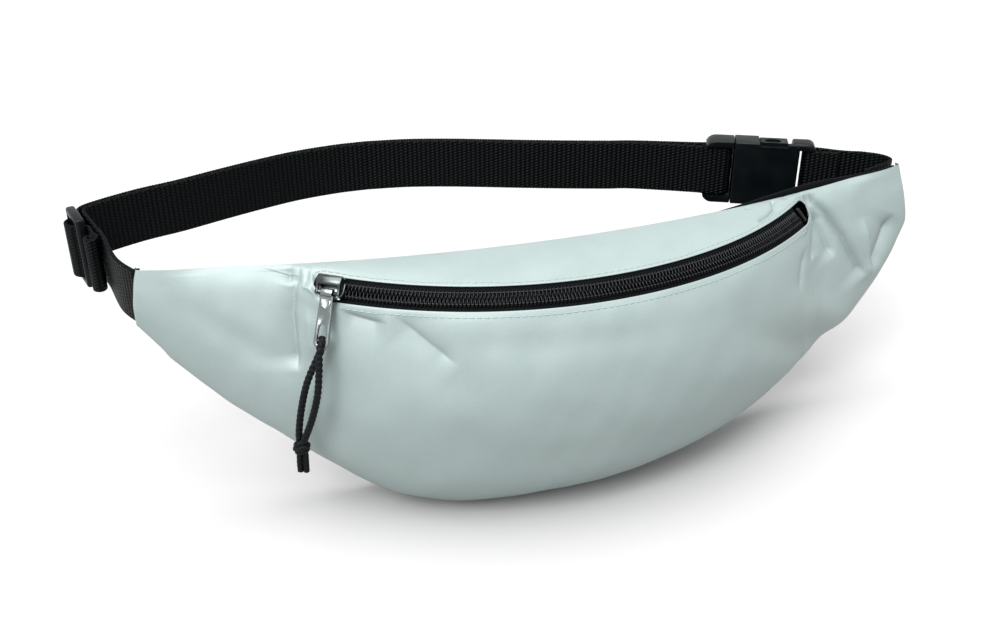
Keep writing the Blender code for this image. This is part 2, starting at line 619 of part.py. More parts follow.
def make_straps(male_hinge):
    run = back_run()
    outer = layer_route(run, LAYER)
    inner = layer_route(run, -LAYER)
    split = len(run) - 9                    # where the strap's own stretch at the buckle starts
    webbing("belt_outer_run", outer[4:split + 1])
    webbing("belt_inner_run", inner[4:split + 1])

    # the stretch that runs through the buckle's male half and turns back around its inner bar
    turn = BUCKLE_BAR + GAP + WEB_THICK / 2
    pivot = BUCKLE_FRAME @ Vector((6.1 * MM, 0, 0))
    heading = math.degrees(BUCKLE_ANGLE)
    loop = arc(pivot, turn + 0.35 * MM, heading + 90, heading - 90, 8)
    far_start = outer[split] + (outer[split + 1] - outer[split]) * 0.1
    near_start = inner[split] + (inner[split + 1] - inner[split]) * 0.1
    far = smooth([far_start, outer[split + 2], outer[split + 4]]
                 + in_plan(BUCKLE_FRAME, [(-5, 2.2), (0, 2.9), (3, 2.9)]) + [loop[0]], 2)
    near = smooth([loop[-1]] + in_plan(BUCKLE_FRAME, [(3, -2.9), (0, -2.9), (-5, -2.2)])
                  + [inner[split + 4], inner[split + 2], near_start], 2)
    webbing("belt_buckle_end", far + loop[1:-1] + near, origin=male_hinge)

    # from the left wing's end, behind the triglide, to the inner layer of the back run
    tip = Vector((-HALF_LENGTH, back_y(HALF_LENGTH), 0))
    sew = [Vector((-HALF_LENGTH - 3.2 * MM, tip.y - 2.0 * MM, 0)), Vector((-182, 38, 0)) * MM]
    behind = in_plan(TRIGLIDE_FRAME, [(-19, -5.9), (-10, -5.6), (0, -5.4), (9, -5.5)])
    join_up = [Vector((-190.6, 92.6, 0)) * MM, inner[2], inner[4] + (inner[3] - inner[4]) * 0.1]
    webbing("belt_wing_strap", smooth(sew + behind + join_up, 3))

    # the outer layer's end: over the triglide's centre bar and out at its near side, folded to a hem
    start = [outer[4] + (outer[3] - outer[4]) * 0.1, outer[2], Vector((-192.0, 94.5, 0)) * MM]
    woven = in_plan(TRIGLIDE_FRAME, [(10.8, -3.1), (7.7, -3.0), (5.0, -0.9), (3.8, 2.4), (1.6, 4.2),
                                     (-1.6, 4.2), (-3.8, 2.4), (-5.0, -0.9), (-7.7, -3.0), (-10.8, -3.1)])
    hem = in_plan(TRIGLIDE_FRAME, [(-14, -2.9), (-17.4, -3.7), (-20.2, -3.0), (-21.4, -1.2), (-20.4, 0.7),
                                   (-18.2, 1.1), (-15.8, 0.6)])
    webbing("belt_adjuster_end", smooth(start + woven + hem, 3), thick=1.3 * MM, origin=TRIGLIDE_MID)


def make_right_strap():
    """The short strap: from the right wing's end, around the buckle's bar, and sewn to itself."""
    heading = math.degrees(BUCKLE_ANGLE)
    pivot = BUCKLE_FRAME @ Vector((BUCKLE_END - 2.0 * MM, 0, 0))
    turn = arc(pivot, BUCKLE_BAR + GAP + WEB_THICK / 2 + 0.35 * MM, heading + 270, heading + 90, 8)
    near = in_plan(BUCKLE_FRAME, [(66, -2.3), (60, -2.3)])
    far = in_plan(BUCKLE_FRAME, [(58, 2.2), (63, 0.6), (68, 0.1)])
    tip = [Vector(p) * MM for p in ((167, 42.6, 0), (173.4, 37.4, 0), (175.4, 32.6, 0), (173.2, 29.2, 0),
                                    (167, 26.6, 0), (156, 23.0, 0))]
    route = smooth(near + [turn[0]], 2) + turn[1:-1] + smooth([turn[-1]] + far + tip, 3)
    webbing("right_strap", route)


MALE_HINGE = BUCKLE_FRAME @ Vector((MOUTH, 0, 0))
make_panels()
make_bindings()
make_zip()
make_slider()
make_tab()
make_cord()
make_buckle_female()
make_buckle_male(MALE_HINGE)
make_prongs()
make_triglide()
make_straps(MALE_HINGE)
make_right_strap()
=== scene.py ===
"""The looks of the waist bag: fabric, webbing, zip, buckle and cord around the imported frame.

Metres, +Z up, in the frame's own axes: +X to the right tip, -Y out of the front, +Y to the wearer.
"""

import math

import bmesh
import bpy
import numpy as np
from mathutils import Matrix, Vector


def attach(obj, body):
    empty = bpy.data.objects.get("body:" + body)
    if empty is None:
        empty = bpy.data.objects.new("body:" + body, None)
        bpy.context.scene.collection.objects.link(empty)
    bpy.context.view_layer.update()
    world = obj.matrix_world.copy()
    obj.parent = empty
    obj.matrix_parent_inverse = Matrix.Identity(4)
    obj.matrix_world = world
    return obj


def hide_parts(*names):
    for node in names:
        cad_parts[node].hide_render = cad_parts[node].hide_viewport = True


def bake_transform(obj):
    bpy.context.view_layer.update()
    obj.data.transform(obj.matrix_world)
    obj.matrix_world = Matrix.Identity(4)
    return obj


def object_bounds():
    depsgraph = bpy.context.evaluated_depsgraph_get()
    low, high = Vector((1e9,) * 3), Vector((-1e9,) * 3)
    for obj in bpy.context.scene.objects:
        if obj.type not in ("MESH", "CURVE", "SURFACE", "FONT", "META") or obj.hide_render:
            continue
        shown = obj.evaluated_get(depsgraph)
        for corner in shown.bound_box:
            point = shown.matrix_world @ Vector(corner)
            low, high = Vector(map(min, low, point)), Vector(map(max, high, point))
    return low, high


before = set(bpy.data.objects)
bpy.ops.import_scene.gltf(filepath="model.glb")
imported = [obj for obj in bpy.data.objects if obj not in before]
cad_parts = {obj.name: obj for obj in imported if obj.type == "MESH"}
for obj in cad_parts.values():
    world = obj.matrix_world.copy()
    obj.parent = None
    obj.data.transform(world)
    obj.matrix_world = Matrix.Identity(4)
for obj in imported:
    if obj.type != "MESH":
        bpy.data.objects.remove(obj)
cad_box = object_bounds()

MM = 0.001
GAP = 0.3 * MM

# bag, as in the part's source
HALF_LENGTH = 174 * MM
BACK_RADIUS = 582 * MM
TOP_Z = 12.5 * MM
# the lower edge: places along the bag and how far below the top edge it lies there, in mm
LOW_EDGE = ((-174, 24.8), (-168, 34.8), (-163, 43), (-145, 62.4), (-121, 81.5), (-104, 94.4),
            (-84, 107), (-65, 112), (-45, 112.6), (-26, 112), (0, 110.6), (31, 107.2), (49, 104.6),
            (66, 101.6), (92, 94.6), (117, 83.2), (134, 72.8), (150, 58.4), (158, 49.2), (165, 41.4),
            (174, 31.4))
BACK_THICK = 1.2 * MM
SEAM_ROOM = 2.6 * MM
EDGE_ROOM = 1.7 * MM
BULGE = 17 * MM
DEPTH_LOW = 61 * MM
WING_START = 105 * MM
END_SLANT = 0.24
ZIP_RADIUS = 176 * MM
ZIP_AXIS_Y = 137 * MM
ZIP_Z = 7.5 * MM
ZIP_TILT = math.radians(45)
ZIP_END = math.radians(38)
SLIDER_REST = math.radians(-35.2)
ZIP_OPENING = 5.6 * MM
OPENING_END = ZIP_END + 0.03
OPENING_HALF_X = ZIP_RADIUS * math.sin(OPENING_END)
SLOT_LEFT = 107.0 * MM              # the slot in the cloth stops close beside the closed slider
SLOT_RIGHT = OPENING_HALF_X

# belt hardware
WEB_WIDTH = 25 * MM
WEB_THICK = 1.5 * MM
LAYER = 1.1 * MM
BUCKLE_FRAME = Matrix.Translation((0.1005, 0.0735, 0)) @ Matrix.Rotation(math.radians(-25), 4, "Z")
TRIGLIDE_FRAME = Matrix.Translation((-0.1965, 0.0775, 0)) @ Matrix.Rotation(math.radians(104), 4, "Z")
BUCKLE_END = 54.5 * MM
STRAP_BAR = 7.8                      # the male half's bar, from the buckle's left end, in mm


# ------------------------------------------------------------------ materials

def nodes_of(name, colour, roughness, metallic=0.0):
    mat = bpy.data.materials.new(name)
    mat.use_nodes = True
    tree = mat.node_tree
    shader = tree.nodes["Principled BSDF"]
    shader.inputs["Base Color"].default_value = (*colour, 1)
    shader.inputs["Roughness"].default_value = roughness
    shader.inputs["Metallic"].default_value = metallic
    return mat, tree, shader


def coords(tree, kind="Object", scale=(1, 1, 1)):
    source = tree.nodes.new("ShaderNodeTexCoord")
    mapping = tree.nodes.new("ShaderNodeMapping")
    mapping.inputs["Scale"].default_value = scale
    tree.links.new(source.outputs[kind], mapping.inputs["Vector"])
    return mapping.outputs["Vector"]


def noise(tree, vector, scale, detail=3.0, rough=0.5):
    tex = tree.nodes.new("ShaderNodeTexNoise")
    tex.inputs["Scale"].default_value = scale
    tex.inputs["Detail"].default_value = detail
    tex.inputs["Roughness"].default_value = rough
    tree.links.new(vector, tex.inputs["Vector"])
    return tex.outputs["Fac"]


def wave(tree, vector, scale, direction="X", profile="SIN"):
    tex = tree.nodes.new("ShaderNodeTexWave")
    tex.wave_profile = profile
    tex.bands_direction = direction
    tex.inputs["Scale"].default_value = scale
    tree.links.new(vector, tex.inputs["Vector"])
    return tex.outputs["Fac"]


def combine(tree, a, b, operation="ADD"):
    node = tree.nodes.new("ShaderNodeMath")
    node.operation = operation
    for slot, value in ((0, a), (1, b)):
        if isinstance(value, (int, float)):
            node.inputs[slot].default_value = value
        else:
            tree.links.new(value, node.inputs[slot])
    return node.outputs[0]


def bump(tree, shader, height, depth, strength=1.0):
    node = tree.nodes.new("ShaderNodeBump")
    node.inputs["Distance"].default_value = depth
    node.inputs["Strength"].default_value = strength
    tree.links.new(height, node.inputs["Height"])
    tree.links.new(node.outputs["Normal"], shader.inputs["Normal"])


def vary(tree, shader, socket, fac, low, high):
    """Let a texture move a socket between two values or colours."""
    if isinstance(low, tuple):
        ramp = tree.nodes.new("ShaderNodeValToRGB")
        ramp.color_ramp.elements[0].position = 0.3
        ramp.color_ramp.elements[1].position = 0.7
        ramp.color_ramp.elements[0].color = (*low, 1)
        ramp.color_ramp.elements[1].color = (*high, 1)
        tree.links.new(fac, ramp.inputs["Fac"])
        tree.links.new(ramp.outputs["Color"], shader.inputs[socket])
        return
    node = tree.nodes.new("ShaderNodeMapRange")
    node.inputs["From Min"].default_value = 0.3
    node.inputs["From Max"].default_value = 0.7
    node.inputs["To Min"].default_value = low
    node.inputs["To Max"].default_value = high
    tree.links.new(fac, node.inputs["Value"])
    tree.links.new(node.outputs["Result"], shader.inputs[socket])


def silver_fabric():
    """Retroreflective cloth: a fine grain of glass beads over a smooth coated weave."""
    mat, tree, shader = nodes_of("silver_fabric", (0.20, 0.24, 0.235), 0.48, 0.10)
    place = coords(tree)
    grain = noise(tree, place, 2600, 2, 0.6)
    cloud = noise(tree, place, 60, 4, 0.6)
    vary(tree, shader, "Base Color", combine(tree, combine(tree, grain, 0.6, "MULTIPLY"),
                                             combine(tree, cloud, 0.4, "MULTIPLY")),
         (0.176, 0.222, 0.218), (0.216, 0.264, 0.258))
    vary(tree, shader, "Roughness", cloud, 0.44, 0.54)
    bump(tree, shader, combine(tree, grain, combine(tree, cloud, 2.0, "MULTIPLY")), 0.00005, 0.5)
    return mat


def black_fabric(name="black_fabric", twill=1.1):
    """Plain dark woven cloth with a diagonal rib, laid out by the piece's own UV in millimetres."""
    mat, tree, shader = nodes_of(name, (0.012, 0.014, 0.015), 0.7)
    place = coords(tree, "UV")
    rib = wave(tree, place, 0.314 / twill, "DIAGONAL")
    fuzz = noise(tree, place, 5, 4, 0.6)
    vary(tree, shader, "Base Color", combine(tree, combine(tree, rib, 0.5, "MULTIPLY"),
                                             combine(tree, fuzz, 0.5, "MULTIPLY")),
         (0.0015, 0.002, 0.0022), (0.005, 0.006, 0.0065))
    shader.inputs["Specular IOR Level"].default_value = 0.04
    bump(tree, shader, combine(tree, rib, combine(tree, fuzz, 0.6, "MULTIPLY")), 0.00025, 0.8)
    return mat


def separate(tree, vector):
    node = tree.nodes.new("ShaderNodeSeparateXYZ")
    tree.links.new(vector, node.inputs["Vector"])
    return node.outputs["X"], node.outputs["Y"]


COLUMN, ROW = 2.25, 1.5              # the webbing's yarns: their length along it and spacing across, mm


def webbing_material():
    """Black webbing: short yarns in columns across the strap, each column half a yarn off the last."""
    mat, tree, shader = nodes_of("black_webbing", (0.006, 0.007, 0.008), 0.42)
    place = coords(tree, "UV")
    along, over = separate(tree, place)
    along = combine(tree, along, COLUMN, "DIVIDE")
    column = combine(tree, along, 0, "FLOOR")
    within = combine(tree, combine(tree, along, 0, "FRACT"), 0.5, "SUBTRACT")
    offset = combine(tree, combine(tree, column, 2, "FLOORED_MODULO"), 0.5, "MULTIPLY")
    row = combine(tree, combine(tree, over, ROW, "DIVIDE"), offset)
    row = combine(tree, row, combine(tree, within, 0.45, "MULTIPLY"))
    yarn = combine(tree, combine(tree, row, 2 * math.pi, "MULTIPLY"), 0, "COSINE")
    yarn = combine(tree, combine(tree, yarn, 0.5, "MULTIPLY"), 0.5)
    ridge = combine(tree, combine(tree, within, math.pi, "MULTIPLY"), 0, "COSINE")
    height = combine(tree, yarn, ridge, "MULTIPLY")
    fibre = noise(tree, place, 3.5, 4, 0.65)
    # the base colour follows the yarn height: painted highlight on the yarn tops and painted shade in the gaps
    # between them, mixed with a random fibre tone
    vary(tree, shader, "Base Color", combine(tree, combine(tree, height, 0.75, "MULTIPLY"),
                                             combine(tree, fibre, 0.3, "MULTIPLY")),
         (0.0004, 0.0007, 0.0008), (0.0035, 0.0055, 0.006))
    vary(tree, shader, "Roughness", fibre, 0.36, 0.5)
    shader.inputs["Specular IOR Level"].default_value = 0.05
    bump(tree, shader, combine(tree, height, combine(tree, fibre, 0.3, "MULTIPLY")), 0.00045, 0.9)
    return mat


def plastic_material():
    mat, tree, shader = nodes_of("black_plastic", (0.010, 0.012, 0.013), 0.36)
    place = coords(tree)
    grain = noise(tree, place, 1800, 3, 0.6)
    smear = noise(tree, place, 90, 3, 0.5)
    vary(tree, shader, "Base Color", smear, (0.001, 0.002, 0.0025), (0.0022, 0.0035, 0.004))
    vary(tree, shader, "Roughness", smear, 0.30, 0.42)
    shader.inputs["Specular IOR Level"].default_value = 0.14
    bump(tree, shader, grain, 0.00005, 0.5)
    return mat


def coil_material():
    mat, tree, shader = nodes_of("zip_coil", (0.001, 0.0015, 0.002), 0.25)
    shader.inputs["Specular IOR Level"].default_value = 0.16
    place = coords(tree)
    vary(tree, shader, "Roughness", noise(tree, place, 300, 2), 0.18, 0.34)
    bump(tree, shader, noise(tree, place, 2500, 2), 0.00003, 0.4)
    return mat


def nickel_material(name, colour, rough_low, rough_high):
    mat, tree, shader = nodes_of(name, colour, rough_low, 1.0)
    place = coords(tree)
    wear = noise(tree, place, 260, 4, 0.6)
    vary(tree, shader, "Roughness", wear, rough_low, rough_high)
    vary(tree, shader, "Base Color", wear, tuple(0.9 * c for c in colour), colour)
    bump(tree, shader, noise(tree, place, 900, 3, 0.6), 0.00002, 0.4)
    return mat


def cord_material():
    mat, tree, shader = nodes_of("black_cord", (0.012, 0.013, 0.014), 0.42)
    place = coords(tree, "UV", (1, 2, 1))
    fibre = noise(tree, place, 6, 3, 0.6)
    vary(tree, shader, "Base Color", fibre, (0.0006, 0.001, 0.0012), (0.004, 0.0055, 0.006))
    shader.inputs["Specular IOR Level"].default_value = 0.09
    bump(tree, shader, fibre, 0.0002, 0.6)
    return mat


def thread_material(name, colour):
    mat, tree, shader = nodes_of(name, colour, 0.5)
    place = coords(tree)
    twist = noise(tree, place, 2200, 2)
    vary(tree, shader, "Base Color", twist, tuple(0.8 * c for c in colour), colour)
    bump(tree, shader, twist, 0.0001, 0.6)
    return mat


def floor_material():
    mat, tree, shader = nodes_of("floor", (0.34, 0.34, 0.34), 0.9)
    place = coords(tree)
    vary(tree, shader, "Roughness", noise(tree, place, 8, 2), 0.85, 0.95)
    return mat


MATS = {
    "silver": silver_fabric(),
    "fabric": black_fabric(),
    "tape": black_fabric("zip_tape", 0.8),
    "webbing": webbing_material(),
    "plastic": plastic_material(),
    "coil": coil_material(),
    "nickel": nickel_material("nickel", (0.20, 0.225, 0.225), 0.24, 0.34),
    "gunmetal": nickel_material("nickel_dark", (0.07, 0.08, 0.08), 0.22, 0.36),
    "cord": cord_material(),
    "thread": thread_material("silver_thread", (0.24, 0.29, 0.285)),
    "dark_thread": thread_material("dark_thread", (0.004, 0.005, 0.006)),
}


# ------------------------------------------------------------------ mesh helpers

def add(name, mesh, mat, body="root", nodes=()):
    obj = bpy.data.objects.new(name, mesh)
    mesh.materials.clear()
    mesh.materials.append(MATS[mat])
    bpy.context.scene.collection.objects.link(obj)
    if nodes:
        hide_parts(*nodes)
    if body is not None:
        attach(obj, body)
    return obj


def grid_mesh(name, points, uv, wrap=False):
    """A smooth mesh from an array of rows of points; wrap closes each row into a ring."""
    rows, cols = points.shape[:2]
    index = np.arange(rows * cols).reshape(rows, cols)
    right = np.roll(index, -1, axis=1) if wrap else index[:, 1:]
    left = index if wrap else index[:, :-1]
    faces = np.stack([left[:-1], right[:-1], right[1:], left[1:]], axis=-1).reshape(-1, 4)
    mesh = bpy.data.meshes.new(name)
    mesh.from_pydata(points.reshape(-1, 3).tolist(), [], faces.tolist())
    layer = mesh.uv_layers.new(name="UV")
    loops = np.empty(len(mesh.loops), int)
    mesh.loops.foreach_get("vertex_index", loops)
    layer.data.foreach_set("uv", uv.reshape(-1, 2)[loops].ravel())
    mesh.shade_smooth()
    return mesh


def clean(mesh, merge=1e-6, outward=True):
    bm = bmesh.new()
    bm.from_mesh(mesh)
    bmesh.ops.remove_doubles(bm, verts=bm.verts, dist=merge)
    if outward:
        bmesh.ops.recalc_face_normals(bm, faces=bm.faces)
    bm.to_mesh(mesh)
    bm.free()
    return mesh


def block(low, high, at=None, width=0.0, segments=3):
    """A bmesh box between two corners, with rounded edges, in the given frame."""
    low, high = Vector(low), Vector(high)
    bm = bmesh.new()
    bmesh.ops.create_cube(bm, size=1)
    bmesh.ops.scale(bm, vec=high - low, verts=bm.verts)
    bmesh.ops.translate(bm, vec=(low + high) / 2, verts=bm.verts)
    if width > 0:
        bmesh.ops.bevel(bm, geom=bm.edges[:], offset=width, segments=segments, profile=0.5,
                        affect="EDGES", clamp_overlap=True)
    if at is not None:
        bmesh.ops.transform(bm, matrix=at, verts=bm.verts)
    return bm


def outline(points, low, high, at=None, width=0.0, segments=2):
    """A bmesh plate: a flat outline in x and y, from z low to z high, edges rounded."""
    bm = bmesh.new()
    ring = [bm.verts.new((x, y, low)) for x, y in points]
    base = bm.faces.new(ring)
    made = bmesh.ops.extrude_face_region(bm, geom=[base])["geom"]
    top = [v for v in made if isinstance(v, bmesh.types.BMVert)]
    bmesh.ops.translate(bm, vec=(0, 0, high - low), verts=top)
    bmesh.ops.recalc_face_normals(bm, faces=bm.faces)
    if width > 0:
        rims = [e for e in bm.edges if abs(e.verts[0].co.z - e.verts[1].co.z) < 1e-9]
        bmesh.ops.bevel(bm, geom=rims, offset=width, segments=segments, profile=0.5,
                        affect="EDGES", clamp_overlap=True)
    if at is not None:
        bmesh.ops.transform(bm, matrix=at, verts=bm.verts)
    return bm


def to_mesh(bm, name):
    mesh = bpy.data.meshes.new(name)
    bmesh.ops.recalc_face_normals(bm, faces=bm.faces)
    bm.to_mesh(mesh)
    bm.free()
    return mesh


def shaped(name, base, steps, round_width=0.0, angle=35):
    """A base solid with others joined to it or cut from it, its new edges then rounded a little."""
    obj = bpy.data.objects.new(name, to_mesh(base, name))
    bpy.context.scene.collection.objects.link(obj)
    tools = []
    for mode, bm in steps:
        tool = bpy.data.objects.new(name + "_tool", to_mesh(bm, name + "_tool"))
        bpy.context.scene.collection.objects.link(tool)
        tools.append(tool)
        step = obj.modifiers.new("shape", "BOOLEAN")
        step.operation = mode
        step.object = tool
    if round_width > 0:
        soft = obj.modifiers.new("round", "BEVEL")
        soft.width = round_width
        soft.segments = 2
        soft.limit_method = "ANGLE"
        soft.angle_limit = math.radians(angle)
    bpy.context.view_layer.update()
    depsgraph = bpy.context.evaluated_depsgraph_get()
    mesh = bpy.data.meshes.new_from_object(obj.evaluated_get(depsgraph))
    for extra in tools + [obj]:
        bpy.data.objects.remove(extra, do_unlink=True)
    mesh.shade_smooth()
    mesh.set_sharp_from_angle(angle=math.radians(32))
    mesh.name = name
    return mesh


def sweep_mesh(name, places, across, out, section, uv_scale=1.0, wrap=True):
    """A section of (across, out) points carried along a line of places."""
    places, across, out = (np.asarray(a, float) for a in (places, across, out))
    section = np.asarray(section, float)
    points = (places[:, None, :] + across[:, None, :] * section[None, :, 0:1]
              + out[:, None, :] * section[None, :, 1:2])
    along = np.concatenate([[0], np.cumsum(np.linalg.norm(np.diff(places, axis=0), axis=1))])
    ring = np.concatenate([[0], np.cumsum(np.linalg.norm(np.diff(section, axis=0), axis=1))])
    uv = np.stack(np.broadcast_arrays(along[:, None], ring[None, :]), axis=-1) / MM * uv_scale
    return grid_mesh(name, points, uv, wrap)


def smooth_line(points, step):
    """A Catmull-Rom curve through the points, then places on it at an even step."""
    pts = [np.array(p, float) for p in points]
    ends = [2 * pts[0] - pts[1]] + pts + [2 * pts[-1] - pts[-2]]
    dense = []
    for p0, p1, p2, p3 in zip(ends, ends[1:], ends[2:], ends[3:]):
        t = np.linspace(0, 1, 24, endpoint=False)[:, None]
        dense.append(0.5 * ((2 * p1) + (p2 - p0) * t + (2 * p0 - 5 * p1 + 4 * p2 - p3) * t ** 2
                            + (3 * p1 - p0 - 3 * p2 + p3) * t ** 3))
    dense = np.concatenate(dense + [pts[-1][None]])
    run = np.concatenate([[0], np.cumsum(np.linalg.norm(np.diff(dense, axis=0), axis=1))])
    count = max(2, int(round(run[-1] / step)) + 1)
    want = np.linspace(0, run[-1], count)
    return np.stack([np.interp(want, run, dense[:, i]) for i in range(3)], axis=1)


def tangents(line):
    step = np.gradient(line, axis=0)
    return step / np.linalg.norm(step, axis=1)[:, None]


def capsule_row(name, places, normals, length, radius, mat, body="root"):
    """A row of stitches: short rounded threads laid along a line of places."""
    heading = tangents(places)
    verts, faces = [], []
    rings = ((-0.5, 0.25), (-0.36, 0.9), (0.0, 1.0), (0.36, 0.9), (0.5, 0.25))
    sides = 6
    for p, t, n in zip(places, heading, normals):
        b = np.cross(t, n)
        base = len(verts)
        for along, size in rings:
            for k in range(sides):
                a = 2 * math.pi * k / sides
                verts.append(p + t * along * length + (n * math.cos(a) + b * math.sin(a)) * radius * size)
        for r in range(len(rings) - 1):
            for k in range(sides):
                q = base + r * sides
                faces.append((q + k, q + (k + 1) % sides, q + sides + (k + 1) % sides, q + sides + k))
        faces.append(tuple(range(base, base + sides)))
        faces.append(tuple(range(base + (len(rings) - 1) * sides, base + len(rings) * sides)))
    mesh = bpy.data.meshes.new(name)
    mesh.from_pydata([tuple(v) for v in verts], [], faces)
    clean(mesh)
    mesh.shade_smooth()
    return add(name, mesh, mat, body)


# ------------------------------------------------------------------ bag surface

def back_y(x):
    return BACK_RADIUS - np.sqrt(BACK_RADIUS ** 2 - x ** 2)


def fullness(x):
    reach = HALF_LENGTH + np.where(x < 0, 4, 9) * MM
    return np.clip(1 - (x / reach) ** 2, 0, 1) ** 1.1


def end_shift(x, z):
    """How far a point near a wing's end moves along x: the right end slants and the left one bows."""
    down = TOP_Z - z
    right = np.clip((x - WING_START) / (HALF_LENGTH - WING_START), 0, 1)
    left = np.clip((-x - 150 * MM) / (HALF_LENGTH - 150 * MM), 0, 1)
    slant = END_SLANT * right * right * (3 - 2 * right) * down
    bow = 3.2 * MM * left * left * np.clip(down / (16 * MM), 0, 1) ** 0.75
    return slant - bow


def place(x, depth, z):
    z = z + 0 * x
    return np.stack([x + end_shift(x, z), back_y(x) - depth + 0 * z, z], axis=-1)


def wing_room(x):
    """Extra room near a wing's end, where the strap is sewn in between the cloths."""
    t = np.clip((np.abs(x) - 140 * MM) / (26 * MM), 0, 1)
    return 1.9 * MM * t * t * (3 - 2 * t)


OPENING_END_DEPTH = float(back_y(OPENING_HALF_X)) - ZIP_AXIS_Y + ZIP_RADIUS * math.cos(OPENING_END)


def past_opening(x):
    return np.clip((np.abs(x) - OPENING_HALF_X) / (HALF_LENGTH - OPENING_HALF_X), 0, 1)


def seam_depth(x):
    inside = back_y(x) - ZIP_AXIS_Y + np.sqrt(np.clip(ZIP_RADIUS ** 2 - x ** 2, 0, None))
    tip_depth = SEAM_ROOM + 3.0 * MM
    outside = tip_depth + (OPENING_END_DEPTH - tip_depth) * (1 - past_opening(x)) ** 1.6
    return np.where(np.abs(x) <= OPENING_HALF_X, inside, outside)


def opening(x):
    limit = np.where(x < 0, SLOT_LEFT, SLOT_RIGHT)
    past = np.clip((np.abs(x) - (limit - 3 * MM)) / (4.2 * MM), 0, 1)
    return (ZIP_OPENING - 0.2 * MM) * np.sqrt(1 - past ** 2)


LOW_LINE = smooth_line([(x, drop, 0) for x, drop in LOW_EDGE], 1.0) * MM


def bottom_z(x):
    return TOP_Z - np.interp(x, LOW_LINE[:, 0], LOW_LINE[:, 1])


def seam_point(x, side):
    half = opening(x)
    square_on = np.sqrt(1 - (np.minimum(np.abs(x), OPENING_HALF_X) / ZIP_RADIUS) ** 2)
    depth = seam_depth(x) + side * half * math.cos(ZIP_TILT) / square_on
    height = ZIP_Z - 2.5 * MM * past_opening(x)
    return depth, height - side * half * math.sin(ZIP_TILT)


def top_section(x, t):
    """The top panel at a station: t is 0 at the back edge and 1 at the zip."""
    depth, height = seam_point(x, -1)
    dome = 1.6 * MM * fullness(x)
    room = EDGE_ROOM + wing_room(x)
    d = room + (depth - room) * t
    return place(x, d, TOP_Z + (height - TOP_Z) * t + dome * 4 * t * (1 - t))


def front_section(x, t):
    """The front panel at a station: t is 0 at the zip and 1 at the bottom seam."""
    depth, height = seam_point(x, 1)
    low = bottom_z(x)
    full = fullness(x)
    drop = height - low
    room = SEAM_ROOM + wing_room(x) * 0.8
    d = ((1 - t) ** 3 * depth + 3 * t * (1 - t) ** 2 * (depth + BULGE * full + 0.5 * MM)
         + 3 * t * t * (1 - t) * (room + DEPTH_LOW * full + 1 * MM) + t ** 3 * room)
    z = ((1 - t) ** 3 * height + 3 * t * (1 - t) ** 2 * (height - 0.20 * drop)
         + 3 * t * t * (1 - t) * (low - 0.07 * drop * full) + t ** 3 * low)
    return place(x, d, z)


def zip_place(angle, across=0.0, out=0.0):
    """A point beside the chain: across is down and out from its middle, out is along its normal."""
    angle = np.asarray(angle, float)
    away = np.stack([np.sin(angle), -np.cos(angle), 0 * angle], axis=-1)
    up = np.array([0, 0, 1.0])
    side = away * math.cos(ZIP_TILT) - up * math.sin(ZIP_TILT)
    normal = away * math.sin(ZIP_TILT) + up * math.cos(ZIP_TILT)
    centre = np.array([0, ZIP_AXIS_Y, ZIP_Z]) + away * ZIP_RADIUS
    across = np.asarray(across)[..., None] if np.ndim(across) else across
    out = np.asarray(out)[..., None] if np.ndim(out) else out
    return centre + side * across + normal * out


def zip_axes(angle):
    away = np.array([math.sin(angle), -math.cos(angle), 0])
    up = np.array([0, 0, 1.0])
    side = away * math.cos(ZIP_TILT) - up * math.sin(ZIP_TILT)
    normal = away * math.sin(ZIP_TILT) + up * math.cos(ZIP_TILT)
    along = np.array([math.cos(angle), math.sin(angle), 0])
    return side, along, normal


# Folds, in millimetres on the unrolled cloth: x along the bag and v down from the zip line
# (negative on the top panel). Each is a line, its height, how far its flank reaches on the left
# and on the right as the line is walked (a short reach is a steep flank), and how far in from
# each end it fades.
FOLD_DEPTH = 2.0
FOLDS = (
    # gathers beside the zip's closed end
    (((-115.5, -9), (-116.5, -4), (-118, 1)), -0.8, 3.0, 1.3, 4),
    (((-112, -8), (-113, -3), (-116, 3), (-118, 11), (-118.7, 25), (-118.7, 37)), -1.7, 7.0, 1.3, 8),
    (((-109, -6), (-110.5, -1), (-112, 3)), -0.6, 2.0, 1.0, 3),
    (((-113, 1.6), (-106, 1.0)), 0.7, 0.9, 1.6, 2),
    (((-112, 6), (-112.5, 20), (-112, 32)), 0.7, 2.5, 5.0, 9),
    # the cloth sags below the hem
    (((-102, 2.6), (-96, 4.4), (-90, 5.6), (-84, 6.0)), -1.1, 8.0, 1.6, 6),
    (((-83, 1.6), (-78.4, 5.5), (-70, 13.5), (-60, 22)), -1.0, 8.0, 2.6, 9),
    # pleats that fan out from the zip's open end
    (((113, -9), (117, -1), (119.2, 3), (123, 13), (127.5, 26)), -1.4, 5.0, 1.3, 6),
    (((116, -9), (121, -2), (126.6, 5), (134, 17.4), (138.6, 28), (144, 41)), -1.9, 7.0, 1.4, 7),
    (((120, 2), (118, 8), (114.5, 14), (112, 20)), -1.0, 1.4, 3.5, 4),
    (((107, 8), (103, 17), (100, 27)), -0.7, 3.5, 2.0, 7),
    (((145, 10), (146, 28), (147, 46)), 1.1, 5.0, 2.5, 10),
    (((165, 14), (158, 25), (152.5, 33), (148, 40)), -2.2, 6.0, 2.6, 8),
    (((84, -19), (81.5, -13)), -0.5, 1.4, 1.2, 2),
    (((97, -13), (95, -8), (93.5, -5), (88, -3.6), (80, -3.4)), -0.8, 1.2, 2.4, 4),
    (((103, -12), (104, -8), (102, -5)), -0.6, 1.5, 1.2, 3),
)
